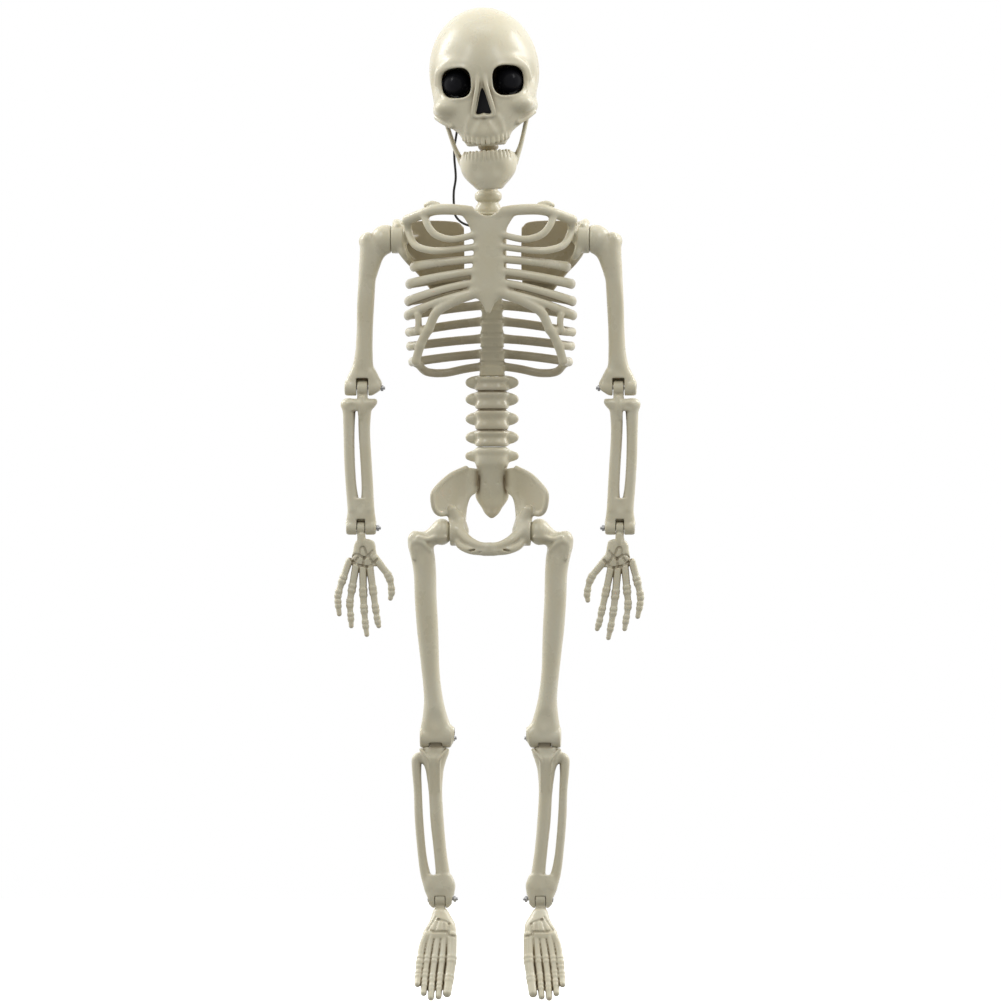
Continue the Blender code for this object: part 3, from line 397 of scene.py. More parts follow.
def beyond(low, high, at, facing):
    """Everything past a plane that faces some way in x and z."""
    def distance(x, y, z):
        return ((at[0] - x) * facing[0] + (at[1] - z) * facing[1]) / math.hypot(*facing) + 0 * y
    return np.array(low, float), np.array(high, float), distance


def slab(outline, middle, half, lip=1.5, steps=5):
    """A curved plate: its outline is in x and z, middle(x, z) is its y and half(x, z) half its thickness."""
    ring = np.array(outline, float)
    ring = spline(np.vstack([ring, ring[:1]]), steps)[:-1]
    grid = np.meshgrid(*(np.linspace(ring[:, i].min(), ring[:, i].max(), 9) for i in (0, 1)))
    deep = middle(*grid)
    thick = np.max(half(*grid))
    low = np.array([ring[:, 0].min(), deep.min() - thick, ring[:, 1].min()])
    high = np.array([ring[:, 0].max(), deep.max() + thick, ring[:, 1].max()])

    def distance(x, y, z):
        px, pz = x[:, 0, 0][:, None], z[0, 0, :][None, :]
        best = np.full((px.size, pz.size), 1e6)
        inside = np.zeros((px.size, pz.size), bool)
        for (ax, az), (bx, bz) in zip(ring, np.roll(ring, -1, axis=0)):
            dx, dz = bx - ax, bz - az
            t = np.clip(((px - ax) * dx + (pz - az) * dz) / max(dx * dx + dz * dz, 1e-9), 0, 1)
            best = np.minimum(best, (px - ax - t * dx) ** 2 + (pz - az - t * dz) ** 2)
            if az != bz:
                crosses = ((az > pz) != (bz > pz)) & (px < (bx - ax) * (pz - az) / (bz - az) + ax)
                inside ^= crosses
        side = (np.sqrt(best) * np.where(inside, -1, 1))[:, None, :]
        face = np.abs(y - middle(x, z)) - half(x, z)
        return -blend_min(-side + 0 * face, -face + 0 * side, lip)
    return low, high, distance


# ---------------------------------------------------------------- materials

IVORY, IVORY_WARM, IVORY_DULL = (0.640, 0.604, 0.470), (0.612, 0.562, 0.408), (0.42, 0.37, 0.26)
# Colours of painted shade: brown for recesses and shaded faces, near black for the inside of the skull's face.
CREVICE_SHADE, SHADE_BLACK = (0.200, 0.145, 0.072), (0.006, 0.006, 0.008)
NOISE_LOW, NOISE_HIGH = 0.3, 0.7    # the band in which nearly all of a noise lies


class Nodes:
    """A node tree, and the few kinds of node that the looks and the sky are made of."""

    def __init__(self, tree):
        self.tree = tree

    def node(self, kind, **settings):
        made = self.tree.nodes.new(kind)
        for key, value in settings.items():
            if key in made.inputs:
                made.inputs[key].default_value = value
            else:
                setattr(made, key, value)
        return made

    def link(self, start, end):
        self.tree.links.new(start, end)

    def noise(self, scale, detail=3.0):
        made = self.node("ShaderNodeTexNoise", Scale=scale, Detail=detail, Roughness=0.55)
        self.link(self.node("ShaderNodeTexCoord").outputs["Object"], made.inputs["Vector"])
        return made.outputs["Fac"]

    def spread(self, value, low, high, from_low=NOISE_LOW, from_high=NOISE_HIGH):
        """Stretch a band of values to the range from low to high."""
        band = {"From Min": from_low, "From Max": from_high, "To Min": low, "To Max": high}
        made = self.node("ShaderNodeMapRange", **band)
        self.link(value, made.inputs["Value"])
        return made.outputs["Result"]

    def ramp(self, value, *stops):
        """A grey that follows (position, grey) stops."""
        made = self.node("ShaderNodeValToRGB")
        self.link(value, made.inputs["Fac"])
        band = made.color_ramp
        while len(band.elements) < len(stops):
            band.elements.new(0.5)
        for element, (position, grey) in zip(band.elements, stops):
            element.position = position
            element.color = (grey, grey, grey, 1.0)
        return made.outputs["Color"]

    def mix(self, factor, one, two):
        """A blend of two colours, each a tuple or a socket."""
        made = self.node("ShaderNodeMix", data_type="RGBA")
        for name, kind, value in (("Factor", "VALUE", factor), ("A", "RGBA", one), ("B", "RGBA", two)):
            end = next(socket for socket in made.inputs if (socket.name, socket.type) == (name, kind))
            if isinstance(value, tuple):
                end.default_value = (*value, 1.0)
            else:
                self.link(value, end)
        return next(socket for socket in made.outputs if socket.type == "RGBA")


class Look(Nodes):
    """A Principled material whose colour, roughness and bumps all vary a little."""

    def __init__(self, name, colour, roughness, metallic=0.0):
        self.material = bpy.data.materials.new(name)
        self.material.use_nodes = True
        super().__init__(self.material.node_tree)
        self.inputs = self.tree.nodes["Principled BSDF"].inputs
        self.inputs["Base Color"].default_value = (*colour, 1.0)
        self.inputs["Roughness"].default_value = roughness
        self.inputs["Metallic"].default_value = metallic

    def attribute(self, name):
        return self.node("ShaderNodeAttribute", attribute_name=name).outputs["Fac"]

    def finish(self, colour, rough, rough_scale, *layers):
        """Link the colour, a roughness range and bump layers of (scale, detail, strength, metres)."""
        self.link(colour, self.inputs["Base Color"])
        self.link(self.spread(self.noise(rough_scale), *rough), self.inputs["Roughness"])
        end = self.inputs["Normal"]
        for scale, detail, strength, distance in reversed(layers):
            made = self.node("ShaderNodeBump", Strength=strength, Distance=distance)
            self.link(self.noise(scale, detail), made.inputs["Height"])
            self.link(made.outputs["Normal"], end)
            end = made.inputs["Normal"]
        return self.material


def bone_plastic(name, black_shaded=False):
    """Semi-gloss ivory plastic, slightly mottled, with painted shade: browner in its recesses and on faces set to
    stand in shade.
    """
    look = Look(name, IVORY, 0.36)
    mottled = look.mix(look.spread(look.noise(28.0), 0.0, 1.0), IVORY, IVORY_WARM)
    fine = look.mix(look.spread(look.noise(420.0, 4.0), 0.0, 0.10), mottled, IVORY_DULL)
    # Painted shade: the plastic turns brown as the shade value rises.
    recess = look.ramp(look.attribute("painted_shade"), (0.0, 0.0), (0.30, 0.06), (0.70, 0.42), (1.0, 0.85))
    colour = look.mix(recess, fine, CREVICE_SHADE)
    # Painted shade: near black where the black shade value is high, on the inside of the skull's face.
    if black_shaded:
        colour = look.mix(look.attribute("black_shade"), colour, SHADE_BLACK)
    look.inputs["Subsurface Weight"].default_value = 0.12
    look.inputs["Subsurface Radius"].default_value = (0.9, 0.6, 0.35)
    look.inputs["Subsurface Scale"].default_value = 0.003
    look.inputs["Specular IOR Level"].default_value = 0.55
    return look.finish(colour, (0.24, 0.36), 60.0, (95.0, 2.0, 0.10, 0.0006), (900.0, 3.0, 0.06, 0.0002))


def two_tone(name, base, one, two, scale, rough, rough_scale, bump, metallic=0.0, specular=0.5):
    """A plain material that wanders between two close tones; base holds its mean colour and roughness."""
    look = Look(name, *base, metallic)
    look.inputs["Specular IOR Level"].default_value = specular
    tone = look.mix(look.spread(look.noise(scale), 0.0, 1.0), one, two)
    return look.finish(tone, rough, rough_scale, bump)


def moulded(name, one, two, roughness, grain=700.0, strength=0.12):
    """A plain moulded plastic with a fine grain."""
    rough = (roughness - 0.05, roughness + 0.07)
    return two_tone(name, (one, roughness), one, two, 45.0, rough, 240.0, (grain, 3.0, strength, 0.0002))


LOOKS = {
    "bone_plastic": bone_plastic("bone_plastic"),
    "skull_plastic": bone_plastic("skull_plastic", black_shaded=True),
    "steel": two_tone("steel", ((0.50, 0.50, 0.51), 0.3), (0.42, 0.42, 0.44), (0.60, 0.60, 0.60), 500.0,
                      (0.22, 0.42), 900.0, (2500.0, 3.0, 0.15, 0.00006), metallic=1.0),
    "black_lens": two_tone("black_lens", ((0.008, 0.008, 0.010), 0.2), (0.006, 0.006, 0.008), (0.014, 0.014, 0.017),
                           70.0, (0.16, 0.28), 160.0, (110.0, 1.0, 0.05, 0.0004), specular=0.12),
    "black_rubber": two_tone("black_rubber", ((0.012, 0.012, 0.013), 0.42), (0.010, 0.010, 0.011),
                             (0.026, 0.025, 0.024), 300.0, (0.34, 0.52), 700.0, (1500.0, 3.0, 0.1, 0.0001)),
    "led_red": moulded("led_red", (0.42, 0.02, 0.02), (0.30, 0.01, 0.01), 0.15, 200.0, 0.03),
    "box_plastic": moulded("box_plastic", (0.55, 0.50, 0.38), (0.50, 0.44, 0.31), 0.42),
    "switch_black": moulded("switch_black", (0.018, 0.018, 0.019), (0.03, 0.03, 0.03), 0.45),
    "cell_jacket": moulded("cell_jacket", (0.05, 0.06, 0.09), (0.08, 0.09, 0.12), 0.35),
}


# ---------------------------------------------------------------- pieces

def head_place(points):
    """World millimetres of points in the skull's own frame, after the head's lean."""
    lean = math.radians(HEAD_ROLL)
    x, y, up = points[:, 0], points[:, 1], points[:, 2]
    return np.stack([NECK_X + x * math.cos(lean) + up * math.sin(lean), y,
                     NOD_Z - x * math.sin(lean) + up * math.cos(lean)], 1)


def piece(node_name, skin, look, slot=None, side=1, place=None, black_shade=None, stain=None):
    """Turn a skin into a piece that stands for a CAD node and rides on its body."""
    points, faces, painted_shade = skin
    # Painted shade set for the piece, on faces that stand in shade, is laid over the painted shade of its recesses.
    if stain is not None:
        painted_shade = np.maximum(painted_shade, stain)
    if side < 0:
        points = points * (-1, 1, 1)
        faces = faces[:, ::-1]
    if place is not None:
        points = place(points)
    mesh = bpy.data.meshes.new(node_name + "_moulding")
    mesh.vertices.add(len(points))
    mesh.vertices.foreach_set("co", (points * MM).astype(np.float32).ravel())
    mesh.loops.add(faces.size)
    mesh.loops.foreach_set("vertex_index", faces.ravel().astype(np.int32))
    mesh.polygons.add(len(faces))
    mesh.polygons.foreach_set("loop_start", np.arange(0, faces.size, 4, dtype=np.int32))
    mesh.update(calc_edges=True)
    # The brown and the black painted shade go to the material as point attributes.
    mesh.attributes.new("painted_shade", "FLOAT", "POINT").data.foreach_set("value", painted_shade.astype(np.float32))
    if black_shade is not None:
        mesh.attributes.new("black_shade", "FLOAT", "POINT").data.foreach_set("value", black_shade.astype(np.float32))
    mesh.shade_smooth()
    mesh.materials.append(LOOKS[look])
    made = bpy.data.objects.new(mesh.name, mesh)
    bpy.context.scene.collection.objects.link(made)
    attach(made, BODY[node_name])
    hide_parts(node_name)
    slot or look


def ramp_up(values, start, width):
    """0 up to start, rising to 1 over a width."""
    return np.clip((values - start) / width, 0, 1)


def both_sides(node_name, skin, look="bone_plastic", **extra):
    """A piece for the figure's left, and its mirror image for the right."""
    for name, s in SIDES.items():
        piece(node_name + "_" + name, skin, look, side=s, **extra)


# ---------------------------------------------------------------- head

def build_skull():
    """The face with its sockets and nose opening, and the back half, with a wall of even thickness."""
    low, high, cell = (-54, -70, -20), (54, 66, 115), 0.75
    clay, room = Clay(low, high, cell), Clay(low, high, cell)
    rings = [
        (0, -41, -17, 21, 14), (0, -40, -6, 24, 18), (0, -28, 4, 36, 30.5), (0, -20, 12, 45.5, 38),
        (0, -18, 26, 47.5, 40), (0, -10, 44, 48.5, 48.5), (0, -4, 60, 46, 53)]
    inner = [(x, y, z, w - SKULL_WALL, d - SKULL_WALL) for x, y, z, w, d in rings]
    inner[0], inner[1] = (0, -39, -15, 17, 11), (0, -38, -6, 20.5, 14.5)
    clay.add(dome(CRANIUM_C, CRANIUM_R)).add(loft(rings, lip=3), 5)
    room.add(dome(CRANIUM_C, [r - SKULL_WALL for r in CRANIUM_R])).add(loft(inner), 3)
    clay.add(dome((0, 55, 34), (13, 8, 7)), 9)
    for _ in each_side(clay, room):
        for centre, radii, k in (((58, -34, 44), (15, 17, 20), 7), ((29, -64.5, -1), (9, 12, 10), 6),
                                 ((54, -34, -8), (15, 26, 15), 5)):
            clay.cut(dome(centre, radii), k)
            room.cut(dome(centre, [r + SKULL_WALL for r in radii]), k)
        clay.add(bar([
            (6, -54.6, 53, 3.4), (14, -53.2, 58.5, 3.8), (27, -48.2, 59.5, 4), (38, -40, 54, 4.2),
            (41, -35, 44, 3.8)]), 9)
        clay.add(dome((33, -43, 20), (12, 11, 8.5)), 8)
        clay.add(bar([(36, -44, 19, 4.6), (41, -36, 18, 4), (42.8, -24, 17.5, 3.4), (43.2, -10, 18.5, 3.2)]), 8)
        clay.add(bar([(45.5, -30, 11.5, 1.8), (39, -38, 7, 2.2), (31, -44, 2.4, 2.2)]), 4)
    clay.add(dome((0, -45, -5), (18.5, 15, 12)), 4)
    # The outer surface before the openings are cut; the painted shade inside the skull is measured as depth below
    # it.
    shell = clay.field.copy()
    for _ in each_side(clay):
        rim, rim_wide, rim_tall = [], 15.3, 15
        for step in range(13):
            turn = 2 * math.pi * step / 12
            across, rise = math.cos(turn), math.sin(turn)
            x = EYE_X + rim_wide * math.copysign(abs(across) ** SOCKET_POWER, across)
            z = EYE_UP + rim_tall * math.copysign(abs(rise) ** SOCKET_POWER, rise)
            rim.append((x, clay.front(x, z) + 1.2, z, 1.9))
        clay.add(bar(rim, steps=4), 3.5)
        clay.add(bar([
            (3.4, -57.5, 52, 1.7), (3.3, -60.4, 46, 1.9), (4, -61.6, 38, 1.9), (6.4, -61, 28, 1.9),
            (9, -59.5, 17, 1.9), (8.8, -58.6, 11, 1.8), (4.5, -59.2, 9.4, 1.5), (0, -60, 10.2, 1.5)]), 3)
        clay.add(bar([(12.5, -54.6, 9, 1.5), (14.6, -54, 4, 1.9), (15.6, -52.9, -3, 1.6)]), 5)
        clay.add(bar([(3.6, -57.2, 5.5, 1.3), (5.4, -57.6, 1, 1.6), (7.2, -57, -4, 1.4)]), 5)
    pitch, arch_wide, arch_deep = 12.6, 21.4, 16.8
    for index in range(-6, 6):
        turn = math.radians((index + 0.5) * pitch)
        x, y = arch_wide * math.sin(turn), -41 - arch_deep * math.cos(turn)
        tip = -16.6 + 5.2 * (x / arch_wide) ** 2
        clay.add(bar([
            (x, y + 1.2, tip + 9.5, 1.3), (x, y + 0.3, tip + 5.5, 1.9),
            (x * 0.99, y + 0.3, tip + 1.6, 2.2)], stretch=(1, 0.85, 1)), 1.3)
    for _ in each_side(clay):
        clay.cut(dome((27, -38, -19.5), (10, 34, 9.5)), 2)
    clay.field = np.maximum(clay.field, -room.field)
    for _ in each_side(clay):
        socket = rings_at(EYE_X, EYE_UP, (-75, 15.4, 15.2), (-54, 14.2, 14), (-48, 13.5, 13.3), (-20, 13.3, 13.2))
        clay.cut(loft(socket, power=2.9, axis="y"), 1.2)
        clay.cut(block((22, 45), (-25, -2), (-30, 11.5)), 1)
        clay.cut(disc("x", 30, 48.4, (JAW_Y, JAW_UP), 2))
        clay.cut(bar([
            (0, 63, 84, 0.7), (9, 60, 77, 0.7), (17, 57, 73, 0.7), (28, 52, 62, 0.7), (37, 43, 50, 0.7),
            (42, 34, 38, 0.7)]), 0.8)
    nose = [
        (0, 36), (1.9, 32.5), (4, 25), (6.1, 16.5), (6.9, 13.2), (6, 12), (2, 12.3), (0, 13), (-2, 12.3),
        (-6, 12), (-6.9, 13.2), (-6.1, 16.5), (-4, 25), (-1.9, 32.5)]
    clay.cut(slab(nose, lambda x, z: -60 + 0 * (x + z), lambda x, z: 18 + 0 * (x + z), steps=3), 1)
    # A thin strut and a wall behind the nose opening; the wall takes the black painted shade, so the opening looks
    # dark.
    clay.add(block((-1.5, 1.5), (-56, -31), (38, 60))).add(block((-9.5, 9.5), (-32, -29.8), (2, 60)))
    clay.cut(disc("z", -20, 6, (0, NECK_Y), 9.5)).cut(disc("z", -10, 25, WIRE_EXIT[:2], 2.4))
    y = clay.axes[1][None, :, None]
    for name, field in (("skull_face", np.maximum(clay.field, y - SEAM_Y)),
                        ("skull_back", np.maximum(clay.field, SEAM_Y + GAP - y))):
        skin = clay.skin(field)
        points = skin[0]
        depth = -clay.sample(points, shell)
        # Painted shade inside the skull: the inside of the face half, except its lowest part, is coloured near
        # black, and the inside of both halves dark brown.
        front = (name == "skull_face") * ramp_up(points[:, 2], -6, 2)
        black_shade = ramp_up(depth, 1.2, 0.5) * front
        stain = 0.9 * ramp_up(depth, 1.4, 0.8)
        piece(name, skin, "skull_plastic", "bone_plastic", place=head_place, black_shade=black_shade, stain=stain)


def build_eyes():
    """A lens that fills each socket from behind."""
    clay = Clay((EYE_X - 15, -50, EYE_UP - 15), (EYE_X + 15, -33, EYE_UP + 15), 0.6)
    clay.add(dome((EYE_X, -36, EYE_UP), (13, 12.2, 13))).cut(block((0, 60), (-35.6, -20), (0, 90), 0))
    both_sides("eye_lens", clay.skin(), "black_lens", place=head_place)


def build_jaw():
    """Lower jaw with its teeth and the two straps that the pivots go through."""
    clay = Clay((-44, -60, -62), (44, -4, 24), 0.55)
    outer = [
        (0, -27, -23.5, 24.5, 27), (0, -26.5, -33, 26, 28), (0, -28, -42, 24.4, 25.8),
        (0, -29.4, -48, 20.4, 23.8), (0, -30.4, -54, 14.6, 21.4), (0, -31, -57.5, 11.5, 19.6)]
    inner = [
        (0, -24, -19, 19.5, 25), (0, -23.5, -33, 21, 27), (0, -25, -42, 18.8, 24.6),
        (0, -26.6, -49, 13.6, 22.4), (0, -27.6, -56, 9, 20.4), (0, -28, -64, 8, 19)]
    clay.add(loft(outer, power=2.15, lip=2.5))
    for _ in each_side(clay):
        clay.cut(dome((14.5, -56.2, -40), (8, 4.5, 7)), 6)
    clay.cut(loft(inner, power=2.15))
    pitch, arch_wide, arch_deep = 8.8, 24.4, 27.5
    for index in range(-7, 7):
        turn = math.radians((index + 0.5) * pitch)
        x, y = arch_wide * math.sin(turn), -27 - arch_deep * math.cos(turn)
        tall = 0.5 if index % 2 else 0.1
        clay.add(bar([
            (x, y + 1, -32.5, 1.2), (x, y + 0.4, -28, 1.8),
            (x * 0.985, y + 0.7, -23.6 + tall, 1.9)], stretch=(1, 0.9, 1)), 0.8)
    clay.cut(block((-60, 60), (-16, 40), (-70, 0), 1), 1.5)
    clay.cut(dome((0, 6, -66), (70, 38, 30)), 1.5)
    for _ in each_side(clay):
        clay.add(bar([
            (24.4, -20.5, -33, 3), (27.4, -18.8, -25, 2.7), (30.9, -17.2, -16, 2.2), (36, -15, 2, 2.1),
            (38.4, JAW_Y, 12, 2.5)], stretch=(0.95, 1.5, 1.15)), 2.5)
        clay.add(disc("x", 36.2, 40.6, (JAW_Y, JAW_UP), 4.6, 1), 1)
        clay.cut(disc("x", 34, 46, (JAW_Y, JAW_UP), HOLE_R, 0.2))
    piece("jaw", clay.skin(), "bone_plastic", place=head_place)


def build_neck():
    """Beads like small vertebrae between the peg in the chest and the ball in the skull."""
    clay = Clay((NECK_X - 13, NECK_Y - 13, -29), (NECK_X + 13, NECK_Y + 13, 81), 0.6)
    profile = [
        (-28, 6), (-9.2, 6), (-8.2, 11), (-5.5, 12.2), (-2.6, 12.2), (0.8, 11), (3.4, 9.6), (6, 11.9),
        (9, 12.6), (12, 11.9), (15, 8.8)]
    for bead in range(5):
        level = 15.5 + 9 * bead
        profile += [(level + 2, 9.2), (level + 4.4, 9.5), (level + 6.6, 8.2), (level + 8.2, 7)]
    profile += [(61, 5), (63.5, 4.8)]
    rows = [(NECK_X, NECK_Y, z, r, r) for z, r in profile]
    clay.add(loft(rows, lip=1)).add(dome((NECK_X, NECK_Y, NOD_Z), (8, 8, 8)), 1.5)
    clay.add(disc("z", 60, 68, (NECK_X, NECK_Y), 4.8), 1)
    skin = clay.skin()
    # Painted shade: the neck's top, inside the skull and seen through the mouth, is browned as if in the skull's
    # shadow.
    piece("neck", skin, "bone_plastic", stain=0.95 * ramp_up(skin[0][:, 2], 32, 8))


# ---------------------------------------------------------------- chest

FULL_RIBS = ((-49, -56, 71), (-60, -72, 75), (-70, -88, 76), (-78, -101, 76.5))
COSTAL_EDGE = ((10, -80), (31, -88), (48, -98), (55, -112), (63, -127), (68, -143))
FALSE_RIBS = ((-116.5, 76), (-129.5, 75), (-144, 73))
BACK_RIBS = (
    (-62, -72, 75), (-77, -88, 76), (-91, -101, 76.5), (-106, -116.5, 76), (-122, -129.5, 75), (-136, -144, 73))
RIB_STRETCH, RIB_END = (1, 1, 1.22), 87.6


def rib_path(width, front_z, side_z, start, depth):
    """Seven points round the left half of the chest, from an angle off the middle to its side."""
    turns = np.radians(np.linspace(start, RIB_END, 7))
    return [
        (width * math.sin(turn), depth * math.cos(turn),
        front_z + (side_z - front_z) * math.sin(turn) ** 1.5) for turn in turns]


def build_rib_cage_front():
    """Breastbone, collarbones, front ribs and the rib arch as one moulding."""
    clay = Clay((-82, -44, -152), (82, 2.5, 6), 0.75)
    plate = rings_at(0, STERNUM_Y, (-9, 24, 3.6), (-20, 17.5, 4), (-30, 14, 4.1), (-52, 14.2, 4.1),
                     (-70, 15.8, 4.1), (-82, 16, 4), (-88, 8, 3.6))
    plate.append((0, STERNUM_Y - 0.3, -99.5, 1.6, 2.4))
    clay.add(loft(plate, power=2.6))
    for _ in each_side(clay):
        clay.add(bar([
            (8, STERNUM_Y, -6.5, 4.2), (24, -35, -4.3, 4.9), (46, -31, -3.6, 5), (60, -25, -7, 4.7),
            (76, -15, -13, 4.8)]), 4.5)
        clay.add(bar([(47, -29, 0.6, 2.6), (53, -26, 1.6, 3), (58, -23, 0.2, 2.6)]), 1.5)
        clay.add(bar([(66, -20, -101, 3.2), (65.4, -20.5, -108, 3), (66, -19.5, -115, 3.2)]), 3)
        clay.add(bar([
            (60, -26, -8, 3.4), (56, -30, -19, 3.3), (48, -33, -27.5, 3.3), (33, -36, -31.3, 3.2),
            (12, STERNUM_Y, -27, 3)]), 4)
        clay.add(bar([
            (76, -14, -14, 4), (75, -12, -24, 3.6), (69, -20, -36, 3.4), (56, -28, -41, 3.3),
            (40, -34, -41.5, 3.2), (11, STERNUM_Y, -38, 3)]), 4)
        for front_z, side_z, width in FULL_RIBS:
            path = rib_path(width, front_z, side_z, 8, STERNUM_Y)
            clay.add(bar([
                (x, y, z, 3 + 0.9 * (i / 6) ** 1.2) for i, (x, y, z) in enumerate(path)], RIB_STRETCH, 3), 3)
        arch = [(x, STERNUM_Y * math.sqrt(max(0.05, 1 - (x / 78) ** 2)), z) for x, z in COSTAL_EDGE]
        clay.add(bar([(x, y, z, 4.7 - 0.15 * i) for i, (x, y, z) in enumerate(arch)], (1, 0.85, 1)), 3)
        for side_z, width in FALSE_RIBS:
            near = min(arch, key=lambda point: abs(point[2] - side_z))
            turn, end = (math.asin(near[0] / width) if near[0] < width else 1.4), math.radians(RIB_END)
            path = [
                (width * math.sin(t), STERNUM_Y * math.cos(t), side_z) for t in (turn, (turn + end) / 2, end)]
            path[0] = (near[0], near[1], (near[2] + side_z) / 2)
            clay.add(bar([(x, y, z, 3.2) for x, y, z in path], (1, 1, 1.12)), 3.5)
    clay.cut(disc("y", -60, -10, (NECK_X + 1.5, 6), 15), 2)
    piece("rib_cage_front", clay.skin(), "bone_plastic")


def build_rib_cage_back():
    """Chest part of the spine with the back ribs and the socket for the neck peg."""
    clay = Clay((-82, -2, -160), (82, 47, -5), 0.75)
    column = [(0, SPINE_Y, z, 7.4 + 2.8 * (-12 - z) / 145, 6.4) for z in (-12, -60, -100, -150)]
    clay.add(loft(column, power=2.3))
    for level in range(11):
        z = -21.5 - 13 * level
        half = 8 + 0.33 * level
        bead = rings_at(0, SPINE_Y, (z - 4.6, half + 0.8, 6.9), (z, half - 0.5, 6.3), (z + 4.6, half + 0.7, 6.9))
        clay.add(loft(bead, power=2.3, lip=1.4), 0.8)
        if z < -84:
            clay.add(bar([(0, 33, z + 2, 2.8), (0, 38, z - 2, 2.4), (0, 42, z - 7, 1.9)], (0.8, 1, 1.2)), 2.5)
    last = rings_at(0, SPINE_Y - 1, (-156.9, 11.2, 7.5), (-148, 10.6, 7))
    clay.add(loft(last, power=2.3, lip=1.2), 2)
    clay.add(block((-6, 6), (NECK_Y + 8, SPINE_Y), (-30, -16), 1.5), 2)
    clay.add(disc("z", -32, -8.8, (NECK_X, NECK_Y), 10.5, 1), 2)
    for _ in each_side(clay):
        for spine_z, side_z, width in BACK_RIBS:
            path = rib_path(width, spine_z, side_z, 3, RIB_BACK_Y)
            path[0] = (2, SPINE_Y, spine_z)
            clay.add(bar([(x, y, z, 3.35) for x, y, z in path], (1, 0.9, 1.25), 3), 3)
            clay.add(bar([(9, SPINE_Y + 3, spine_z + 1, 3), (15, SPINE_Y + 6.5, spine_z, 2.8)]), 3)
        low = [(2, SPINE_Y, -147), (24, 33, -150), (44, 28, -154), (60, 18, -153), (68, 8, -145.5)]
        clay.add(bar([(x, y, z, 3.4) for x, y, z in low], (1, 0.9, 1.15)), 3.5)
    clay.cut(disc("z", -34, 0, (NECK_X, NECK_Y), 6.5))
    skin = clay.skin()
    # Painted shade: faces turned in towards the chest cavity are browned as if in the front ribs' shade, less near
    # the spine's middle.
    points, normals = skin[0], point_normals(*skin[:2])
    inward = -(normals[:, 0] * points[:, 0] + normals[:, 1] * points[:, 1]) / np.hypot(points[:, 0], points[:, 1])
    stain = 0.72 * ramp_up(inward, -0.15, 0.5) * ramp_up(points[:, 1], 2, 8)
    stain *= 0.45 + 0.55 * ramp_up(np.abs(points[:, 0]), 10, 5)
    piece("rib_cage_back", skin, "bone_plastic", stain=stain)


BLADE = (
    (27, -20), (34, -14), (62, -13), (82, -17), (84, -34), (79, -50), (64, -66), (55, -79), (47, -90),
    (41, -91), (31, -80), (27, -66))


def build_scapulae():
    """Shoulder blade: a thin blade behind the ribs and the round face that the arm turns against."""
    clay = Clay((24, -18, -96), (93, 46, -4), 0.7)
    clay.add(slab(BLADE, lambda x, z: 31.1 + 0.34 * (54 - x) + 0 * z, lambda x, z: 1.25 + 0 * x + 0 * z, 1))
    clay.add(bar([
        (84, 8, -33, 5.2), (81.5, 15, -42, 4.4), (76, 22, -50, 3.6), (68, 27.5, -59, 3), (60, 30.5, -69, 2.8),
        (54, 32.2, -77, 2.6), (48, 34, -87, 2.2)]), 4)
    clay.add(bar([
        (29, 39.5, -20, 1.9), (28.5, 39.8, -45, 1.9), (29.5, 39.5, -64, 1.9), (33, 38.2, -79, 1.9),
        (41, 35.5, -90, 1.9)]), 2.5)
    clay.add(bar([
        (32, 40.5, -26, 1.8), (52, 34.8, -23, 2.4), (70, 29.5, -20.5, 3), (82, 22, -17.5, 3.8),
        (87, 12, -15.5, 4), (86.8, 2, -16.5, 3.9), (85.5, -4, -19, 3.6)]), 3.5)
    clay.add(disc("x", 80.5, SHOULDER_X, (0, SHOULDER_Z), 13.2, 2.4), 1)
    clay.add(bar([(81.5, 0, -28, 9), (82.5, 9, -28, 7.6), (80.5, 17, -28.5, 6), (72, 24.5, -29, 3.4)]), 5)
    clay.add(bar([(83, -6, -37, 4.4), (80.5, -8.5, -43.5, 3.4), (77.5, -7.5, -48, 2.4)]), 4)
    clay.cut(disc("x", 86, 100, (0, SHOULDER_Z), 3, 0.2)).cut(disc("x", 60, 79, (0, SHOULDER_Z), 5.4))
    skin = clay.skin()
    # Painted shade: the blade's front face, which lies behind the ribs, is browned as if in their shade.
    facing = -point_normals(*skin[:2])[:, 1]
    both_sides("scapula", skin, stain=0.85 * ramp_up(facing, -0.2, 0.5) * ramp_up(skin[0][:, 1], 10, 12))


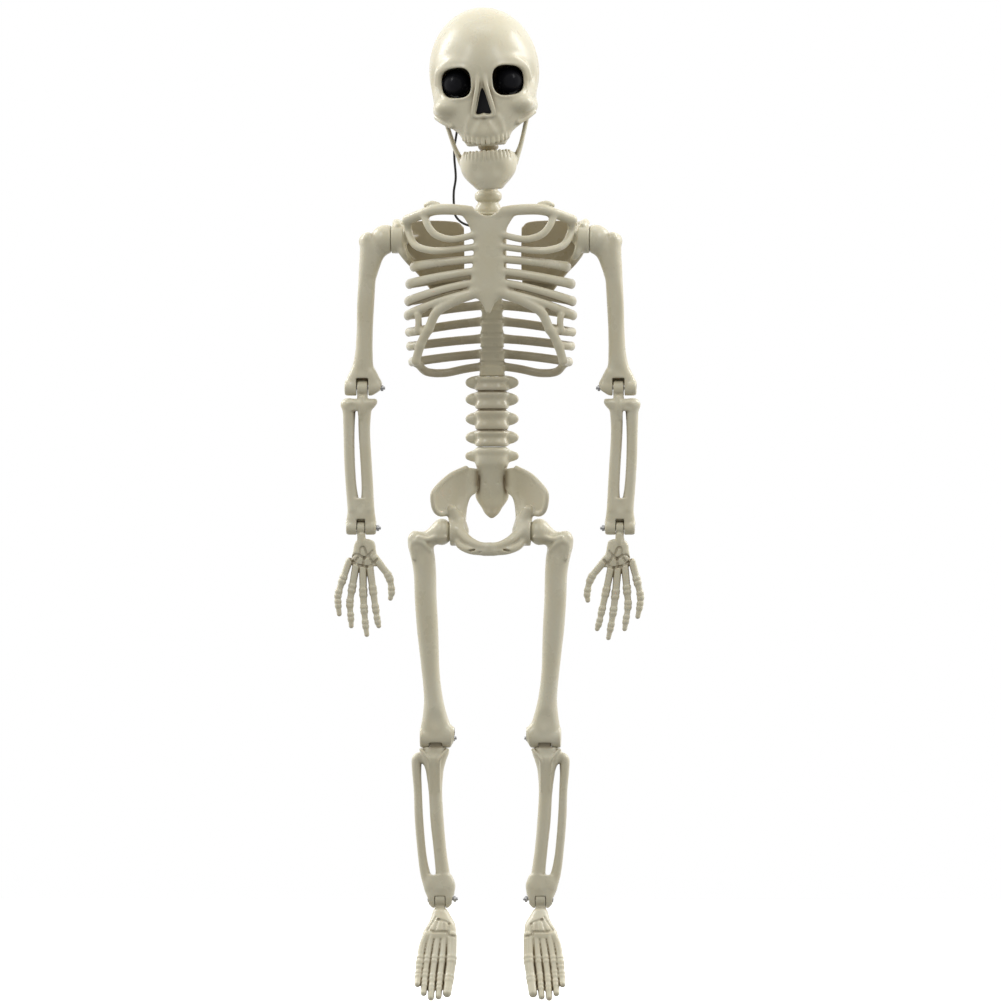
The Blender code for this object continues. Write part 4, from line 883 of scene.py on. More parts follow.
def build_battery_box():
    """Case and cover with rounded edges, thumb ribs on the cover, and the slide switch."""
    inner, middle_y = BOX_HALF_W - 1.4, BOX_FRONT + 7.1
    switch_z, screw_z = BOX_BOTTOM + 6, BOX_TOP - 3.5
    clay = Clay((-14, 34, -80), (14, 50, -6), 0.45)
    clay.add(block((-BOX_HALF_W, BOX_HALF_W), (BOX_FRONT, BOX_BACK), (BOX_BOTTOM, BOX_TOP), 1.2))
    clay.cut(block((-inner, inner), (BOX_FRONT + 1.4, BOX_BACK + 5), (-63.5, -15)))
    clay.cut(block((-5.5, 5.5), (BOX_BACK - 4, BOX_BACK + 5), (switch_z - 2.2, switch_z + 2.2)))
    clay.cut(disc("y", BOX_BACK - 9, BOX_BACK + 3, (0, screw_z), HOLE_R))
    clay.cut(disc("x", -BOX_HALF_W - 2, -inner + 2, (middle_y, -16.5), 1.3))
    piece("battery_box", clay.skin(), "box_plastic")
    clay = Clay((-14, 48, -71), (14, 53, -6), 0.4)
    back = BOX_BACK + 0.3
    clay.add(block((-BOX_HALF_W, BOX_HALF_W), (back, back + COVER_THICK), (switch_z + 3.2, BOX_TOP), 0.8))
    for step in range(6):
        z = switch_z + 7 + 2.2 * step
        clay.cut(bar([
            (-6.5, back + COVER_THICK + 0.35, z, 0.8), (6.5, back + COVER_THICK + 0.35, z, 0.8)]), 0.4)
    clay.cut(disc("y", BOX_BACK - 2, BOX_BACK + 6, (0, screw_z), HOLE_R))
    clay.cut(disc("y", back + 0.8, BOX_BACK + 6, (0, screw_z), 3), 0.3)
    piece("battery_cover", clay.skin(), "box_plastic")
    clay = Clay((-5, 44, switch_z - 3), (3, 52, switch_z + 3), 0.22)
    clay.add(block((-4, 1.5), (BOX_BACK - 3.6, BOX_BACK - 1.4), (switch_z - 1.8, switch_z + 1.8), 0.3))
    clay.add(block((-3.2, -0.2), (BOX_BACK - 2, BOX_BACK + 1.6), (switch_z - 1.2, switch_z + 1.2), 0.35))
    for x in (-2.6, -1.7, -0.8):
        clay.cut(bar([(x, BOX_BACK + 1.75, switch_z - 2, 0.28), (x, BOX_BACK + 1.75, switch_z + 2, 0.28)]))
    piece("power_switch", clay.skin(), "switch_black")


# ---------------------------------------------------------------- lower back and pelvis

VERTEBRAE = ((-157.3, -170.6), (-171.2, -187.7), (-188.3, -206.7), (-207.3, -222.2))


def build_lumbar():
    """Four vertebrae with side and back processes, as one moulding."""
    clay = Clay((-27, 8, -223), (27, 42, -156), 0.55)
    clay.add(loft([(0, 24, LUMBAR_BOTTOM, 13.6, 9.2), (0, 24, LUMBAR_TOP, 12.8, 9.2)], lip=1))
    for top, bottom in VERTEBRAE:
        middle = (top + bottom) / 2 + 1
        body = rings_at(0, 24, (bottom + 0.4, 15.2, 11.2), (bottom + 2.8, 15.5, 11.6), (middle, 13.9, 10.4),
                        (top - 2.8, 15.2, 11.4), (top - 0.4, 14.9, 11))
        clay.add(loft(body, lip=2.4, power=2.2), 0.9)
        for _ in each_side(clay):
            clay.add(bar([
                (11, 27, middle, 6.6), (17, 27.4, middle, 5.8), (20.4, 27.2, middle, 4.3)], (1, 0.8, 1)), 3.5)
        clay.add(bar([(0, 33, middle + 2, 3.4), (0, 37.5, middle - 1, 2.6)], (0.7, 1, 1.5)), 3)
    skin = clay.skin()
    # Painted shade: the front faces, away from the sides, are a little browner, as if in shade.
    front = ramp_up(-point_normals(*skin[:2])[:, 1], 0.2, 0.4) * ramp_up(-np.abs(skin[0][:, 0]), -18, 4)
    piece("lumbar_spine", skin, "bone_plastic", stain=0.42 * front)


WING = (
    (12, -243), (23.5, -242.1), (37.6, -249.2), (50.3, -261.8), (52.7, -269), (51, -279.9), (46.2, -284.6),
    (39, -283.7), (31, -288), (24, -278), (19.5, -268.5), (14, -263))


def wing_y(x, z):
    """How far back the wing of the left hip lies, hollowed like a bowl."""
    bowl = 2.6 * np.clip(1 - ((x - 37) / 19) ** 2 - ((z + 264) / 22) ** 2, 0, 1)
    return 22 - (x - 12) * 0.95 + bowl + 0 * z


def build_pelvis():
    """Pelvis with its wings, sockets and front arch; it also carries the last vertebra and the sacrum."""
    clay = Clay((-60, -31, -328), (60, 42, -220), 0.75)
    clay.add(loft([
        (0, 24, LUMBAR_BOTTOM - GAP, 13.6, 9.6), (0, 24, -224.5, 15.6, 11), (0, 24, -231, 14.8, 10.8),
        (0, 24.2, -238, 15.2, 10.5), (0, 25, -243, 14, 9.5), (0, 26.5, -254, 13.2, 8.2),
        (0, 27.5, -262, 15.6, 7.6), (0, 28, -270, 15, 7), (0, 25.5, -279, 9.4, 5.4),
        (0, 22.6, -285, 5.6, 4.2), (0, 21, -288.4, 1.6, 2.6)], lip=1.6))
    for _ in each_side(clay):
        clay.add(bar([(11, 26, -231, 6.4), (17, 26.4, -231, 5.2), (21, 26.2, -231, 3.9)], (1, 0.8, 1)), 4.5)
        clay.add(slab(WING, wing_y, lambda x, z: 1.9 + 0 * x + 0 * z), 3)
        clay.add(bar([(x, wing_y(x, z), z, 2.3) for x, z in WING[1:8]]), 2.5)
        clay.add(bar([
            (16.5, 20.4, -259.5, 2.6), (23.6, 14.5, -269, 3), (26.6, 8.5, -281, 4.2),
            (28.6, 3.6, -295, 5.4)]), 4.5)
        clay.add(bar([(29, 12.5, -266, 1.6), (30, 8, -276, 2.6), (30, 3.4, -285, 3.4), (29.5, -1, -293, 4)]), 7)
        clay.add(disc("x", 24, (HIP_X - GAP), (0, HIP_Z), 13, 2.4), 3)
        clay.add(bar([(35, -5, -281, 4.6), (31, -2, -291, 7), (28, 0, -300, 8)]), 5)
        clay.add(bar([
            (29, -3, -305, 6), (26, -12, -313, 5), (17, -19, -317.6, 4.6), (6, -22, -318.8, 4.4),
            (-4, -22.2, -318.8, 4.2)], (1, 1, 0.9)), 4)
        clay.add(bar([
            (29, -9, -299, 4.6), (20, -17.5, -308, 4), (10, -22, -313.5, 3.8), (0, -23.4, -315, 3.8)]), 3)
        clay.cut(dome((17.5, -24.5, -318.5), (5.2, 3, 1.1), tilt=-14), 0.8)
        clay.cut(dome((9.5, -27.2, -320), (3.6, 2.4, 0.8), tilt=-8), 0.8)
        for row in range(3):
            clay.cut(dome((6.2, 18.6 + 0.4 * row, -256 - 9 * row), (1.5, 1.6, 1.2)), 1.2)
        clay.cut(dome((45, 0, HIP_Z), (10, 12.6, 12.6)), 0.6)
        clay.cut(disc("x", 33, 60, (0, HIP_Z), 3, 0.2))
    skin = clay.skin()
    # Painted shade: front faces are browned beside the sacrum, on the wings and at the sacrum's tip, where shade
    # falls.
    out, z = np.abs(skin[0][:, 0]), skin[0][:, 2]
    front = ramp_up(-point_normals(*skin[:2])[:, 1], -0.25, 0.5)
    beside = np.exp(-((out - 13.4) / 3.6) ** 2) * ramp_up(z, -266, 8) * ramp_up(-z, 240, 5)
    wing = 0.34 * ramp_up(out, 18, 6) * ramp_up(z, -290, 10)
    tip = 0.55 * ramp_up(-z, 268, 12) * ramp_up(-out, -14, 3) * ramp_up(z, -292, 3)
    piece("pelvis", skin, "bone_plastic", stain=front * np.maximum(np.maximum(0.92 * beside, wing), tip))


# ---------------------------------------------------------------- limbs

def hinge_fork(clay, x, half, z, radius, slot, lip=3):
    """Rounded ends that a hinge screw crosses, with seats for its head and nut.

    The slot between them is given by its half width and its reach in y and z."""
    wide, deep, tall = slot
    clay.add(disc("x", x - half, x + half, (0, z), radius, lip), 3)
    clay.cut(block((x - wide, x + wide), deep, tall, 1.2), 0.8)
    clay.cut(disc("x", x - 30, x + 30, (0, z), HOLE_R, 0.2), 0.3)
    clay.cut(disc("x", x + half - RECESS, x + half + 6, (0, z), RECESS_R, 0.2), 0.4)
    clay.cut(disc("x", x - half - 6, x - half, (0, z), RECESS_R + 0.2, 0.2), 0.4)


def hinge_tongue(clay, x, z, eye, stem, k):
    """An eye (half width, radius, lip) on a stem, which turns in the slot of a fork.

    The stem is given by its half width, its reach in y, its lowest z and its lip."""
    half, radius, lip = eye
    wide, deep, bottom, stem_lip = stem
    clay.add(disc("x", x - half, x + half, (0, z), radius, lip))
    clay.add(block((x - wide, x + wide), deep, (bottom, z - 1.3), stem_lip), k)
    clay.cut(disc("x", x - 30, x + 30, (0, z), HOLE_R, 0.2))


def build_upper_arm():
    """Rod with a ball-like shoulder, a flat face at its pivot and a fork at the elbow."""
    clay = Clay((90, -16, -177), (137, 16, -12), 0.75)
    rings = [
        (114, 0, -25.2, 3.8, 5), (113.2, 0, -28.2, 6.8, 8.6), (112, 0, -33, 9.2, 10.6),
        (111.2, 0, -39, 9.7, 11), (111.9, 0, -48, 9, 10.2), (113.5, 0, -60, 8.3, 8.9),
        (115.5, 0, -92, 7.8, 7.9), (116.6, 0, -120, 7.6, 7.6), (117.2, 0, -136, 8.2, 7.8),
        (118.2, 0.4, -149, 10.2, 8), (ELBOW_X, 0.9, -158, 14.2, 8.5), (ELBOW_X, 0.9, -166, 16.4, 8.3)]
    clay.add(loft(rings, lip=3))
    clay.add(dome((97, 0, SHOULDER_Z), (14, 13, 13.2)), 3)
    clay.add(bar([(98, 0, -32, 10), (109, 0, -40, 9.6), (112.5, 0, -53, 8.6)]), 3)
    clay.add(bar([(100.5, 0, -37.5, 7.6), (106.5, 0, -46, 7.4), (112.2, 0, -60, 7.4)]), 5)
    for x, y, z, r in ((113, -5.5, -29.5, 4.8), (116.6, 0.5, -32, 5)):
        clay.add(dome((x, y, z), (r, r, r * 1.1)), 3.5)
    clay.cut(bar([(108.6, -12.8, -19, 1.2), (108.2, -13.6, -30, 1.5), (110.2, -12.6, -44, 0.8)]), 4)
    clay.cut(block((SHOULDER_X - 9, SHOULDER_X + GAP), (-16, 16), (-50, -10), 0.1), 1.2)
    clay.add(bar([
        (116, -3, -58, 1.2), (118.6, -3.6, -74, 2.6), (119.8, -3.6, -92, 3), (119.2, -3, -112, 2.6),
        (117, -2.4, -130, 1.2)]), 4)
    clay.cut(dome((ELBOW_X, -9.6, -152), (5.5, 2, 5)), 3)
    clay.add(bar([(110.4, -1.5, -155, 4.6), (105, -1, -165.5, 5)]), 5)
    hinge_fork(clay, ELBOW_X, ELBOW_HALF, ELBOW_Z, 7, (5.6, (-20, 7.5), (-190, -159)), 4.2)
    clay.cut(beyond((90, -16, -180), (137, 16, -160), (103.4, -171.2), (-0.55, -0.83)), 1.6)
    both_sides("upper_arm", clay.skin())


def build_forearm():
    """Two thin bones side by side, with a tongue at the elbow and a fork at the wrist."""
    clay = Clay((101, -12, -306), (140, 12, -160), 0.7)
    clay.add(loft([
        (120.4, 0, -178, 15, 5.8), (121.6, 0, -181.5, 16.8, 8), (122.8, 0, -185.5, 15.6, 8.2),
        (123.6, 0, -189, 12.8, 7)], lip=1.8))
    clay.add(bar([
        (130.8, 0, -184, 6.2), (131, 0, -208, 5.2), (130.5, 0, -235, 5), (128.7, 0, -262, 5.1),
        (126, 0, -280, 6.2)]), 3)
    clay.add(bar([
        (116.2, 0, -184, 6.2), (116.8, 0, -208, 5.4), (115, 0, -240, 5.3), (113.9, 0, -262, 5.5),
        (114.2, 0, -280, 6.4)]), 3)
    clay.add(loft([
        (120.2, 0, -270, 11.5, 6), (WRIST_X, 0, -280, 12.2, 6.8), (WRIST_X, 0, -292, 13.8, 6.5),
        (WRIST_X, 0, -297, 13.8, 6)], lip=1.5), 2)
    clay.add(bar([
        (ELBOW_X, -3.2, -178, 4.4), (ELBOW_X + 0.3, -4.6, -186, 4.2), (ELBOW_X + 1.2, -3.6, -196, 2.4)]), 1.6)
    for x, z in ((110.5, -186.5), (128.5, -186)):
        clay.cut(dome((x, -9.6, z), (4, 3, 4.6)), 3)
    clay.cut(dome((120.5, -8.8, -276), (4, 3, 7)), 3)
    hinge_fork(clay, WRIST_X, WRIST_HALF, WRIST_Z, 6.3, (4, (-16, 16), (-320, WRIST_Z)), 4.5)
    clay.cut(disc("x", WRIST_X - 4, WRIST_X + 4, (0, WRIST_Z), 6.5, 0.4), 0.4)
    clay.cut(block((WRIST_X - 4, WRIST_X + 4), (-16, -1), (-300, -289.2), 0.8), 0.5)
    hinge_tongue(clay, ELBOW_X, ELBOW_Z, (4.7, 7, 1.6), (4.8, (-4.8, 4.8), -184, 1.2), 0.6)
    both_sides("forearm", clay.skin())


def digit(route, radius, tip, joints, bulge, dip):
    """Rows along a finger or toe: shafts between knuckles, with a fine crease at each joint's height."""
    rows = spline(route, 16)
    along = np.concatenate([[0], np.cumsum(np.linalg.norm(np.diff(rows[:, :3], axis=0), axis=1))])
    radii = radius + (tip - radius) * (along / along[-1]) ** 1.6
    apart, swell, crease = 1.9, 1.5, 0.8
    for joint in joints:
        gap = along - np.interp(-joint, -rows[:, 2], along)
        radii += bulge * (np.exp(-((gap - apart) / swell) ** 2) + np.exp(-((gap + apart) / swell) ** 2))
        radii -= dip * np.exp(-(gap / crease) ** 2)
    return np.column_stack([rows[:, :3], radii])


# Each finger: distances outwards from the wrist's middle and heights of its base, joints and tip
FINGERS = (((10.9, -328), (16.9, -345.2), (21, -358.5), (21.1, -367.5), (20, -377)),
           ((4.6, -332.5), (8.2, -353.3), (10.2, -367.1), (9.3, -379.8), (8.8, -388)),
           ((-1.8, -334.5), (-2.2, -357.3), (-3, -372.6), (-4.3, -386.5), (-5.6, -396)),
           ((-8.2, -334), (-11.2, -355.2), (-13.7, -372), (-15.3, -382.5), (-16.6, -388)),
           ((-13, -325), (-19.5, -333.5), (-26, -343), (-28.4, -355.5), (-27.3, -362.5)))
# Creases between the small bones of the wrist
CARPAL_LINES = (((1.1, -322.1), (0.4, -316.7), (-1.6, -315.2), (-3.5, -316.3), (-5.5, -322.5)),
                ((9.2, -325.5), (5.7, -322.1), (1.1, -322.8), (-3.1, -324.8), (-6.9, -322.8), (-10.8, -318.6)),
                ((5, -327.8), (2.3, -324.4)), ((-1.9, -332.1), (-3.1, -324.8)), ((-7.4, -324), (-10.4, -328.7)),
                ((9.2, -326.6), (6.9, -329), (3, -331.4), (-1.6, -332.6), (-5.5, -333.3), (-9.7, -332.1),
                 (-11.2, -330.6), (-15.1, -326.4)))


def build_hands():
    """Palm with its small bones drawn on it, and five fingers."""
    clay = Clay((85, -12, -402), (146, 8, -290), 0.5)
    clay.add(loft([
        (WRIST_X - 2.6, 0, -307.6, 5, 4), (WRIST_X - 3.3, 0, -309.4, 8, 4.6),
        (WRIST_X - 3.4, 0, -311.9, 9.4, 5), (WRIST_X - 3.3, 0, -317.5, 10.4, 5.4),
        (WRIST_X - 3.2, 0, -326, 12.2, 4.8), (WRIST_X - 3.6, -0.4, -333, 12, 3.6)], power=2.3))
    clay.add(bar([
        (WRIST_X - 0.6, -2.6, -304, 3.4), (WRIST_X - 1.4, -2.9, -310, 3.4),
        (WRIST_X - 2, -3, -314.5, 2.4)]), 1.2)
    for finger, radius in zip(FINGERS, (3.3, 3.5, 3.6, 3.5, 3.6)):
        route = [(WRIST_X + out, -1 - 0.00045 * (z - WRIST_Z) ** 2, z) for out, z in finger]
        joints = [z for _, z in finger[2 if finger is FINGERS[4] else 1:-1]]
        clay.add(bar(digit(route, radius, 2.3, joints, 0.75, 0.9), steps=1), 0.6)
    for route in CARPAL_LINES:
        clay.groove([(WRIST_X + out, z) for out, z in route], 0.9, 1.5, 0.1)
        back = [(WRIST_X + out, 5.2 - 0.02 * abs(z + 318), z, 0.6) for out, z in route]
        clay.cut(bar(back, steps=4), 0.6)
    hinge_tongue(clay, WRIST_X, WRIST_Z, (3.5, 5.8, 1.2), (3.5, (-3.9, 3.9), -312.3, 1.4), 1.2)
    points, faces, painted_shade = clay.skin()
    for name, s in SIDES.items():
        moved = points.copy()
        if name == "left":  # this hand hangs turned a little inwards in the photograph
            below = np.maximum(0, -305 - points[:, 2])
            moved[:, 0] += 2 * np.clip(below / 8, 0, 1) - 0.075 * below
            moved[:, 2] -= 0.03 * below
        piece("hand_" + name, (moved, faces, painted_shade), "bone_plastic", side=s)


def build_thigh():
    """Rod with a neck towards the hip and a fork at the knee."""
    clay = Clay((33, -14, -503), (80, 14, -286), 0.75)
    rings = [
        (67, 0, -301, 5, 6), (66.8, 0, -305, 8.6, 9.2), (65.2, 0, -313, 11.2, 11), (63, 0, -322, 11.3, 10.8),
        (61.2, 0, -334, 10.6, 10.2), (60, 0, -362, 10.2, 9.8), (58.2, 0, -392, 9.9, 9.2),
        (56.9, 0, -410, 9.1, 8.8), (55.7, 0, -427, 8.4, 8.5), (54, 0, -444, 8.3, 8.5),
        (52.6, 0, -457, 9, 8.8), (51.4, 0, -471, 11.4, 9.6), (KNEE_X, -0.7, -483, 14.2, 9),
        (KNEE_X, -0.7, -495, 14.6, 8.2)]
    clay.add(loft(rings, lip=3))
    clay.add(dome((45, 0, HIP_Z), (9.6, 12.2, 12.2)), 2)
    clay.add(bar([(46, 0, HIP_Z, 10), (53, 0, -305, 8.2), (59, 0, -309.6, 8.2), (64, 0, -315, 9.6)]), 4)
    clay.add(dome((69.6, -1, -307), (5.8, 8, 6.6)), 4)
    clay.add(bar([
        (40.5, -10.8, -306, 1.2), (50, -9.2, -306, 1.6), (58, -9.8, -308, 1.8), (66, -10.6, -306, 1.6)]), 4)
    clay.add(dome((40, -1, -488.6), (9.3, 8, 9.4)), 4)
    clay.add(bar([
        (56, -7.6, -318.5, 1.5), (61, -10.2, -312.5, 2), (67, -9.8, -309.5, 2.4), (71.5, -7.2, -314, 2.2),
        (70.8, -8.6, -326, 1.4)]), 4)
    clay.cut(dome((63.5, -14.6, -323), (5, 4, 8.5)), 4)
    clay.cut(dome((KNEE_X, -12.3, -474), (7.5, 3.6, 9)), 5)
    hinge_fork(clay, KNEE_X, KNEE_HALF, KNEE_Z, 9, (6, (-7.4, 24), (-520, -482.6)))
    clay.cut(dome((KNEE_X, -10.5, -502.6), (11, 7.4, 7)), 1.2)
    clay.cut(beyond((30, -16, -505), (80, 16, -485), (33.4, -494.6), (-0.84, -0.54)), 1.6)
    both_sides("thigh", clay.skin())


def build_shin():
    """Two bones joined at their ends, with a tongue in the knee and a fork at the ankle."""
    clay = Clay((30, -13, -650), (77, 13, -483), 0.75)
    clay.add(loft([
        (51.6, 1, -499.6, 13.2, 8), (51.9, 0.6, -504.5, 13.5, 9), (52.3, 0, -512, 11.4, 8.8),
        (51.8, 0, -520, 8.6, 8), (51.5, 0, -530, 6.8, 6.8), (51.2, 0, -542, 5, 5.2)], lip=1.5))
    clay.add(bar([
        (52, 0, -512, 7.6), (51, 0, -540, 6.2), (49.5, 0, -567, 6.2), (46.8, 0, -595, 5.9),
        (44.2, 0, -618, 6.6), (45, 0, -630, 8)]), 3)
    clay.add(bar([
        (60, 0.5, -511, 4.8), (67.5, 1, -510.5, 5), (68.4, 1, -521, 4.4), (67.3, 1, -540, 3.8),
        (66.2, 1, -567, 4), (63.6, 1, -597, 4), (60.6, 1, -616, 4.6), (56, 0.5, -630, 5.4)]), 3)
    clay.add(loft([
        (47.5, 0, -618, 11.6, 6.6), (46.9, 0, -627, 14.3, 7.5), (46.6, 0, -634, 13.4, 7.6),
        (ANKLE_X, 0, -640, 12.4, 7.4), (ANKLE_X, 0, -645, 10.2, 6.4),
        (ANKLE_X, 0, -648.6, 7.6, 4.4)], lip=1.5, power=2.4), 3)
    for s in (1, -1):
        clay.add(bar([
            (51.8 + s * 12.4, -6.6, -502.2, 1.5), (51.8 + s * 7.6, -8.8, -507.5, 1.5),
            (51.9 + s * 4.8, -8.6, -512.5, 1.4), (51.6 + s * 4.2, -6.4, -522, 1.2),
            (51 + s * 3.8, -5, -540, 0.8)]), 2)
    clay.cut(dome((51.8, -11.6, -503.5), (9, 4.8, 7.5)), 1.4)
    clay.cut(disc("x", 30, 75, (0, KNEE_Z), 9.6, 0.2), 0.6)
    clay.cut(block((30, 77), (2, 20), (-503.4, -480), 0.5), 1)
    clay.cut(dome((60.2, -8.2, -517), (2.6, 2.4, 5)), 2.5)
    for s in (1, -1):
        clay.cut(dome((ANKLE_X + s * 8, -8.2, -631.5), (1.5, 1.6, 1.5)), 1)
    hinge_fork(clay, ANKLE_X, ANKLE_HALF - 1.5, ANKLE_Z, 5, (5, (-16, 16), (-660, ANKLE_Z)))
    clay.cut(disc("x", ANKLE_X - 5, ANKLE_X + 5, (0, ANKLE_Z), 7.5, 0.8), 0.6)
    hinge_tongue(clay, KNEE_X, KNEE_Z, (5.6, 6.9, 0.8), (5.6, (-5.4, 6.2), -509.3, 0.8), 0.6)
    skin = clay.skin()
    # Painted shade: the top of the knee tongue, in the pocket under the thigh's fork, is browned as if in shade.
    x, _, z = skin[0].T
    both_sides("shin", skin, stain=0.85 * ramp_up(z, -502.4, 2) * ramp_up(-np.abs(x - KNEE_X), -8.5, 2))


# Each toe: x at five heights from the instep to its tip, the tip's height and the thickness
TOES = (
    (35.6, 35.6, 35.9, 37.7, 39.6, -726, 4.8), (42.6, 43.2, 44.4, 46, 47.5, -729, 3.5),
    (48, 49.6, 51.5, 53.2, 54.5, -730, 3.5), (53.8, 56.2, 58.4, 60, 61.2, -726, 3.4),
    (58.9, 62.4, 64.7, 66.1, 66.9, -718, 3.4))
TARSAL_LINES = (((48, -659), (51.6, -669.7)), ((42.8, -661.3), (42.8, -669.7)), ((38, -663.1), (38.6, -669.7)),
                ((57.9, -668.4), (51.6, -670.2), (40.4, -670.2), (38.6, -673.2), (32.8, -674.4)),
                ((48, -659), (40.4, -660.8), (38, -663.1)), ((50.4, -656.8), (57, -667.2)))


def build_feet():
    """Heel, instep and five toes, hanging down."""
    clay = Clay((26, -57, -738), (74, 33, -630), 0.55)
    clay.add(loft([
        (ANKLE_X - 0.5, -3, -650, 5.6, 6.2), (45.2, -6, -656.5, 9.2, 7.8), (44.8, -9, -662, 12, 8.2),
        (46.6, -13.5, -670, 15, 7.6), (47.6, -17, -677, 16, 5.6)], lip=3))
    clay.add(loft([
        (48, -16.5, -675, 15, 3.4), (49.8, -24.5, -692, 15.4, 2.2), (51.2, -32, -705, 15, 1.8),
        (52.2, -38.6, -716, 13.2, 1.5), (52.6, -43.5, -724, 8.5, 1.3)], lip=1.5), 1)
    clay.add(bar([(ANKLE_X, -3, -654, 6.2), (ANKLE_X, 8, -660, 7), (ANKLE_X, 21, -664, 7)]), 5)
    for *across, tip_z, radius in TOES:
        fall = 33 + (-700 - tip_z) * 0.62
        route = list(zip(across, (-17.8, -21.8, -29.6, -38, -fall), (-674, -683, -697, -711, tip_z)))
        joints = (-696, -713.5) if radius > 4 else (-696, tip_z + 17, tip_z + 8.5)
        clay.add(bar(digit(route, radius, radius * 0.82, joints, 0.5, 0.9), steps=1), 0.2)
    for route in TARSAL_LINES:
        clay.groove(route, 1, 1.8, -0.2)
    hinge_tongue(clay, ANKLE_X, ANKLE_Z, (4.6, 7, 1.4), (4.6, (-4.8, 4.8), -656.4, 1.6), 1.6)
    points, faces, painted_shade = clay.skin()
    for name, s in SIDES.items():
        moved = points.copy()
        moved[:, 0] -= s * 0.05 * np.minimum(0, points[:, 1] + 6)
        piece("foot_" + name, (moved, faces, painted_shade), "bone_plastic", side=s)


# ---------------------------------------------------------------- screws, wire and what stays from the frame

THREAD_PITCH = 0.7
HINGES = {"elbow": (ELBOW_X, ELBOW_HALF, ELBOW_Z), "wrist": (WRIST_X, WRIST_HALF, WRIST_Z),
          "knee": (KNEE_X, KNEE_HALF, KNEE_Z), "ankle": (ANKLE_X, ANKLE_HALF, ANKLE_Z)}


def build_screws():
    """Cross-head machine screws with a rolled thread at the end, and bevelled nuts."""
    for joint, (x, half, z) in HINGES.items():
        seat, inner = x + half - RECESS + GAP, x - half - GAP
        end = inner - NUT_H - 1.6
        clay = Clay((end - 1, -4, z - 4), (seat + 4, 4, z + 4), 0.22)
        clay.add(disc("x", end, seat + 0.6, (0, z), SCREW_R, 0.4))
        turns = [i * math.pi / 6 for i in range(int((inner - end + 3) / THREAD_PITCH * 12))]
        thread = [
            (end + 0.4 + THREAD_PITCH * turn / (2 * math.pi), SCREW_R * math.cos(turn),
            z + SCREW_R * math.sin(turn), 0.16) for turn in turns]
        clay.add(bar(thread, steps=1), 0.15)
        face = seat + HEAD_H
        clay.add(disc("x", seat, face, (0, z), HEAD_R, 0.9))
        for wide, tall in ((1.9, 0.35), (0.35, 1.9)):
            clay.cut(block((face - 0.9, face + 2), (-wide, wide), (z - tall, z + tall), 0.1))
        skin = clay.skin()
        clay = Clay((inner - 4, -4, z - 4), (inner + 1, 4, z + 4), 0.22)
        clay.add(disc("x", inner - NUT_H, inner, (0, z), NUT_R, 0.7))
        for step in range(6):
            turn = math.radians(30 + 60 * step)
            y, up = clay.axes[1][None, :, None], clay.axes[2][None, None, :] - z
            side = y * math.cos(turn) + up * math.sin(turn) - NUT_R * 0.88
            clay.field = np.maximum(clay.field, side.astype(np.float32))
        clay.cut(disc("x", inner - 9, inner + 3, (0, z), HOLE_R, 0.1))
        nut = clay.skin()
        for name, s in SIDES.items():
            piece(joint + "_screw_" + name, skin, "steel", side=s)
            piece(joint + "_nut_" + name, nut, "steel", side=s)


def build_grommet():
    """Rubber ring in the skull's base that the lead goes through."""
    clay = Clay((-35, 2, -2), (-23, 14, 8), 0.35)
    x, y = WIRE_EXIT[:2]
    clay.add(disc("z", 0.4, 2.4, (x, y), 3.6, 0.8)).add(disc("z", 1, 5.5, (x, y), 2, 0.3), 0.5)
    clay.cut(disc("z", -2, 8, (x, y), 1.3, 0.1))
    piece("wire_grommet", clay.skin(), "black_rubber", place=head_place)


def build_wire():
    """The eye lead: out of the skull, slack beside the neck, behind the collarbone to the battery box."""
    start = head_place(np.array([(WIRE_EXIT[0], WIRE_EXIT[1], 0)]))[0]
    route = [tuple(start), (-32.6, 9, 63), (-34, 11, 54.5), (-34.2, 14, 44), (-33.2, 18.5, 27), (-35.3, 24, 14),
             (-35.6, 30, 2.5), (-35, 36.5, -7), (-29.5, 41.5, -14), (-21, 43.2, -17.5),
             (-BOX_HALF_W - GAP, BOX_FRONT + 7.1, BOX_TOP - 8.5)]
    centres = spline(route, 9)
    sides = 16
    points, faces = [], []
    before = None
    for i, centre in enumerate(centres):
        along = Vector(centres[min(i + 1, len(centres) - 1)] - centres[max(i - 1, 0)]).normalized()
        across = along.orthogonal() if before is None else before
        across = (across - along * across.dot(along)).normalized()
        before, up = across, along.cross(across)
        for step in range(sides):
            turn = 2 * math.pi * step / sides
            points.append(Vector(centre) + WIRE_R * (math.cos(turn) * across + math.sin(turn) * up))
    for ring in range(len(centres) - 1):
        for step in range(sides):
            after = (step + 1) % sides
            base = ring * sides
            faces.append((base + step, base + after, base + sides + after, base + sides + step))
    faces += [tuple(range(sides))[::-1], tuple(range(len(points) - sides, len(points)))]
    mesh = bpy.data.meshes.new("eye_lead")
    mesh.from_pydata([tuple(p * MM) for p in points], [], faces)
    mesh.update()
    mesh.shade_smooth()
    mesh.materials.append(LOOKS["black_rubber"])
    lead = bpy.data.objects.new("eye_lead", mesh)
    bpy.context.scene.collection.objects.link(lead)
    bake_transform(lead)
    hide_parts("eye_wire")


KEPT = {"jaw_pin_": "steel", "shoulder_pin_": "steel", "hip_pin_": "steel", "led_": "led_red",
        "battery_1": "cell_jacket", "battery_2": "cell_jacket", "battery_contact_": "steel",
        "battery_cover_screw": "steel", "neck_socket": "box_plastic"}


def dress_kept_nodes():
    """Give the nodes that nothing stands for, which stay as CAD shapes, their looks."""
    for name, made in frame["nodes"].items():
        for start, look in KEPT.items():
            if name.startswith(start):
                made.data.materials.clear()
                made.data.materials.append(LOOKS[look])


# ---------------------------------------------------------------- studio

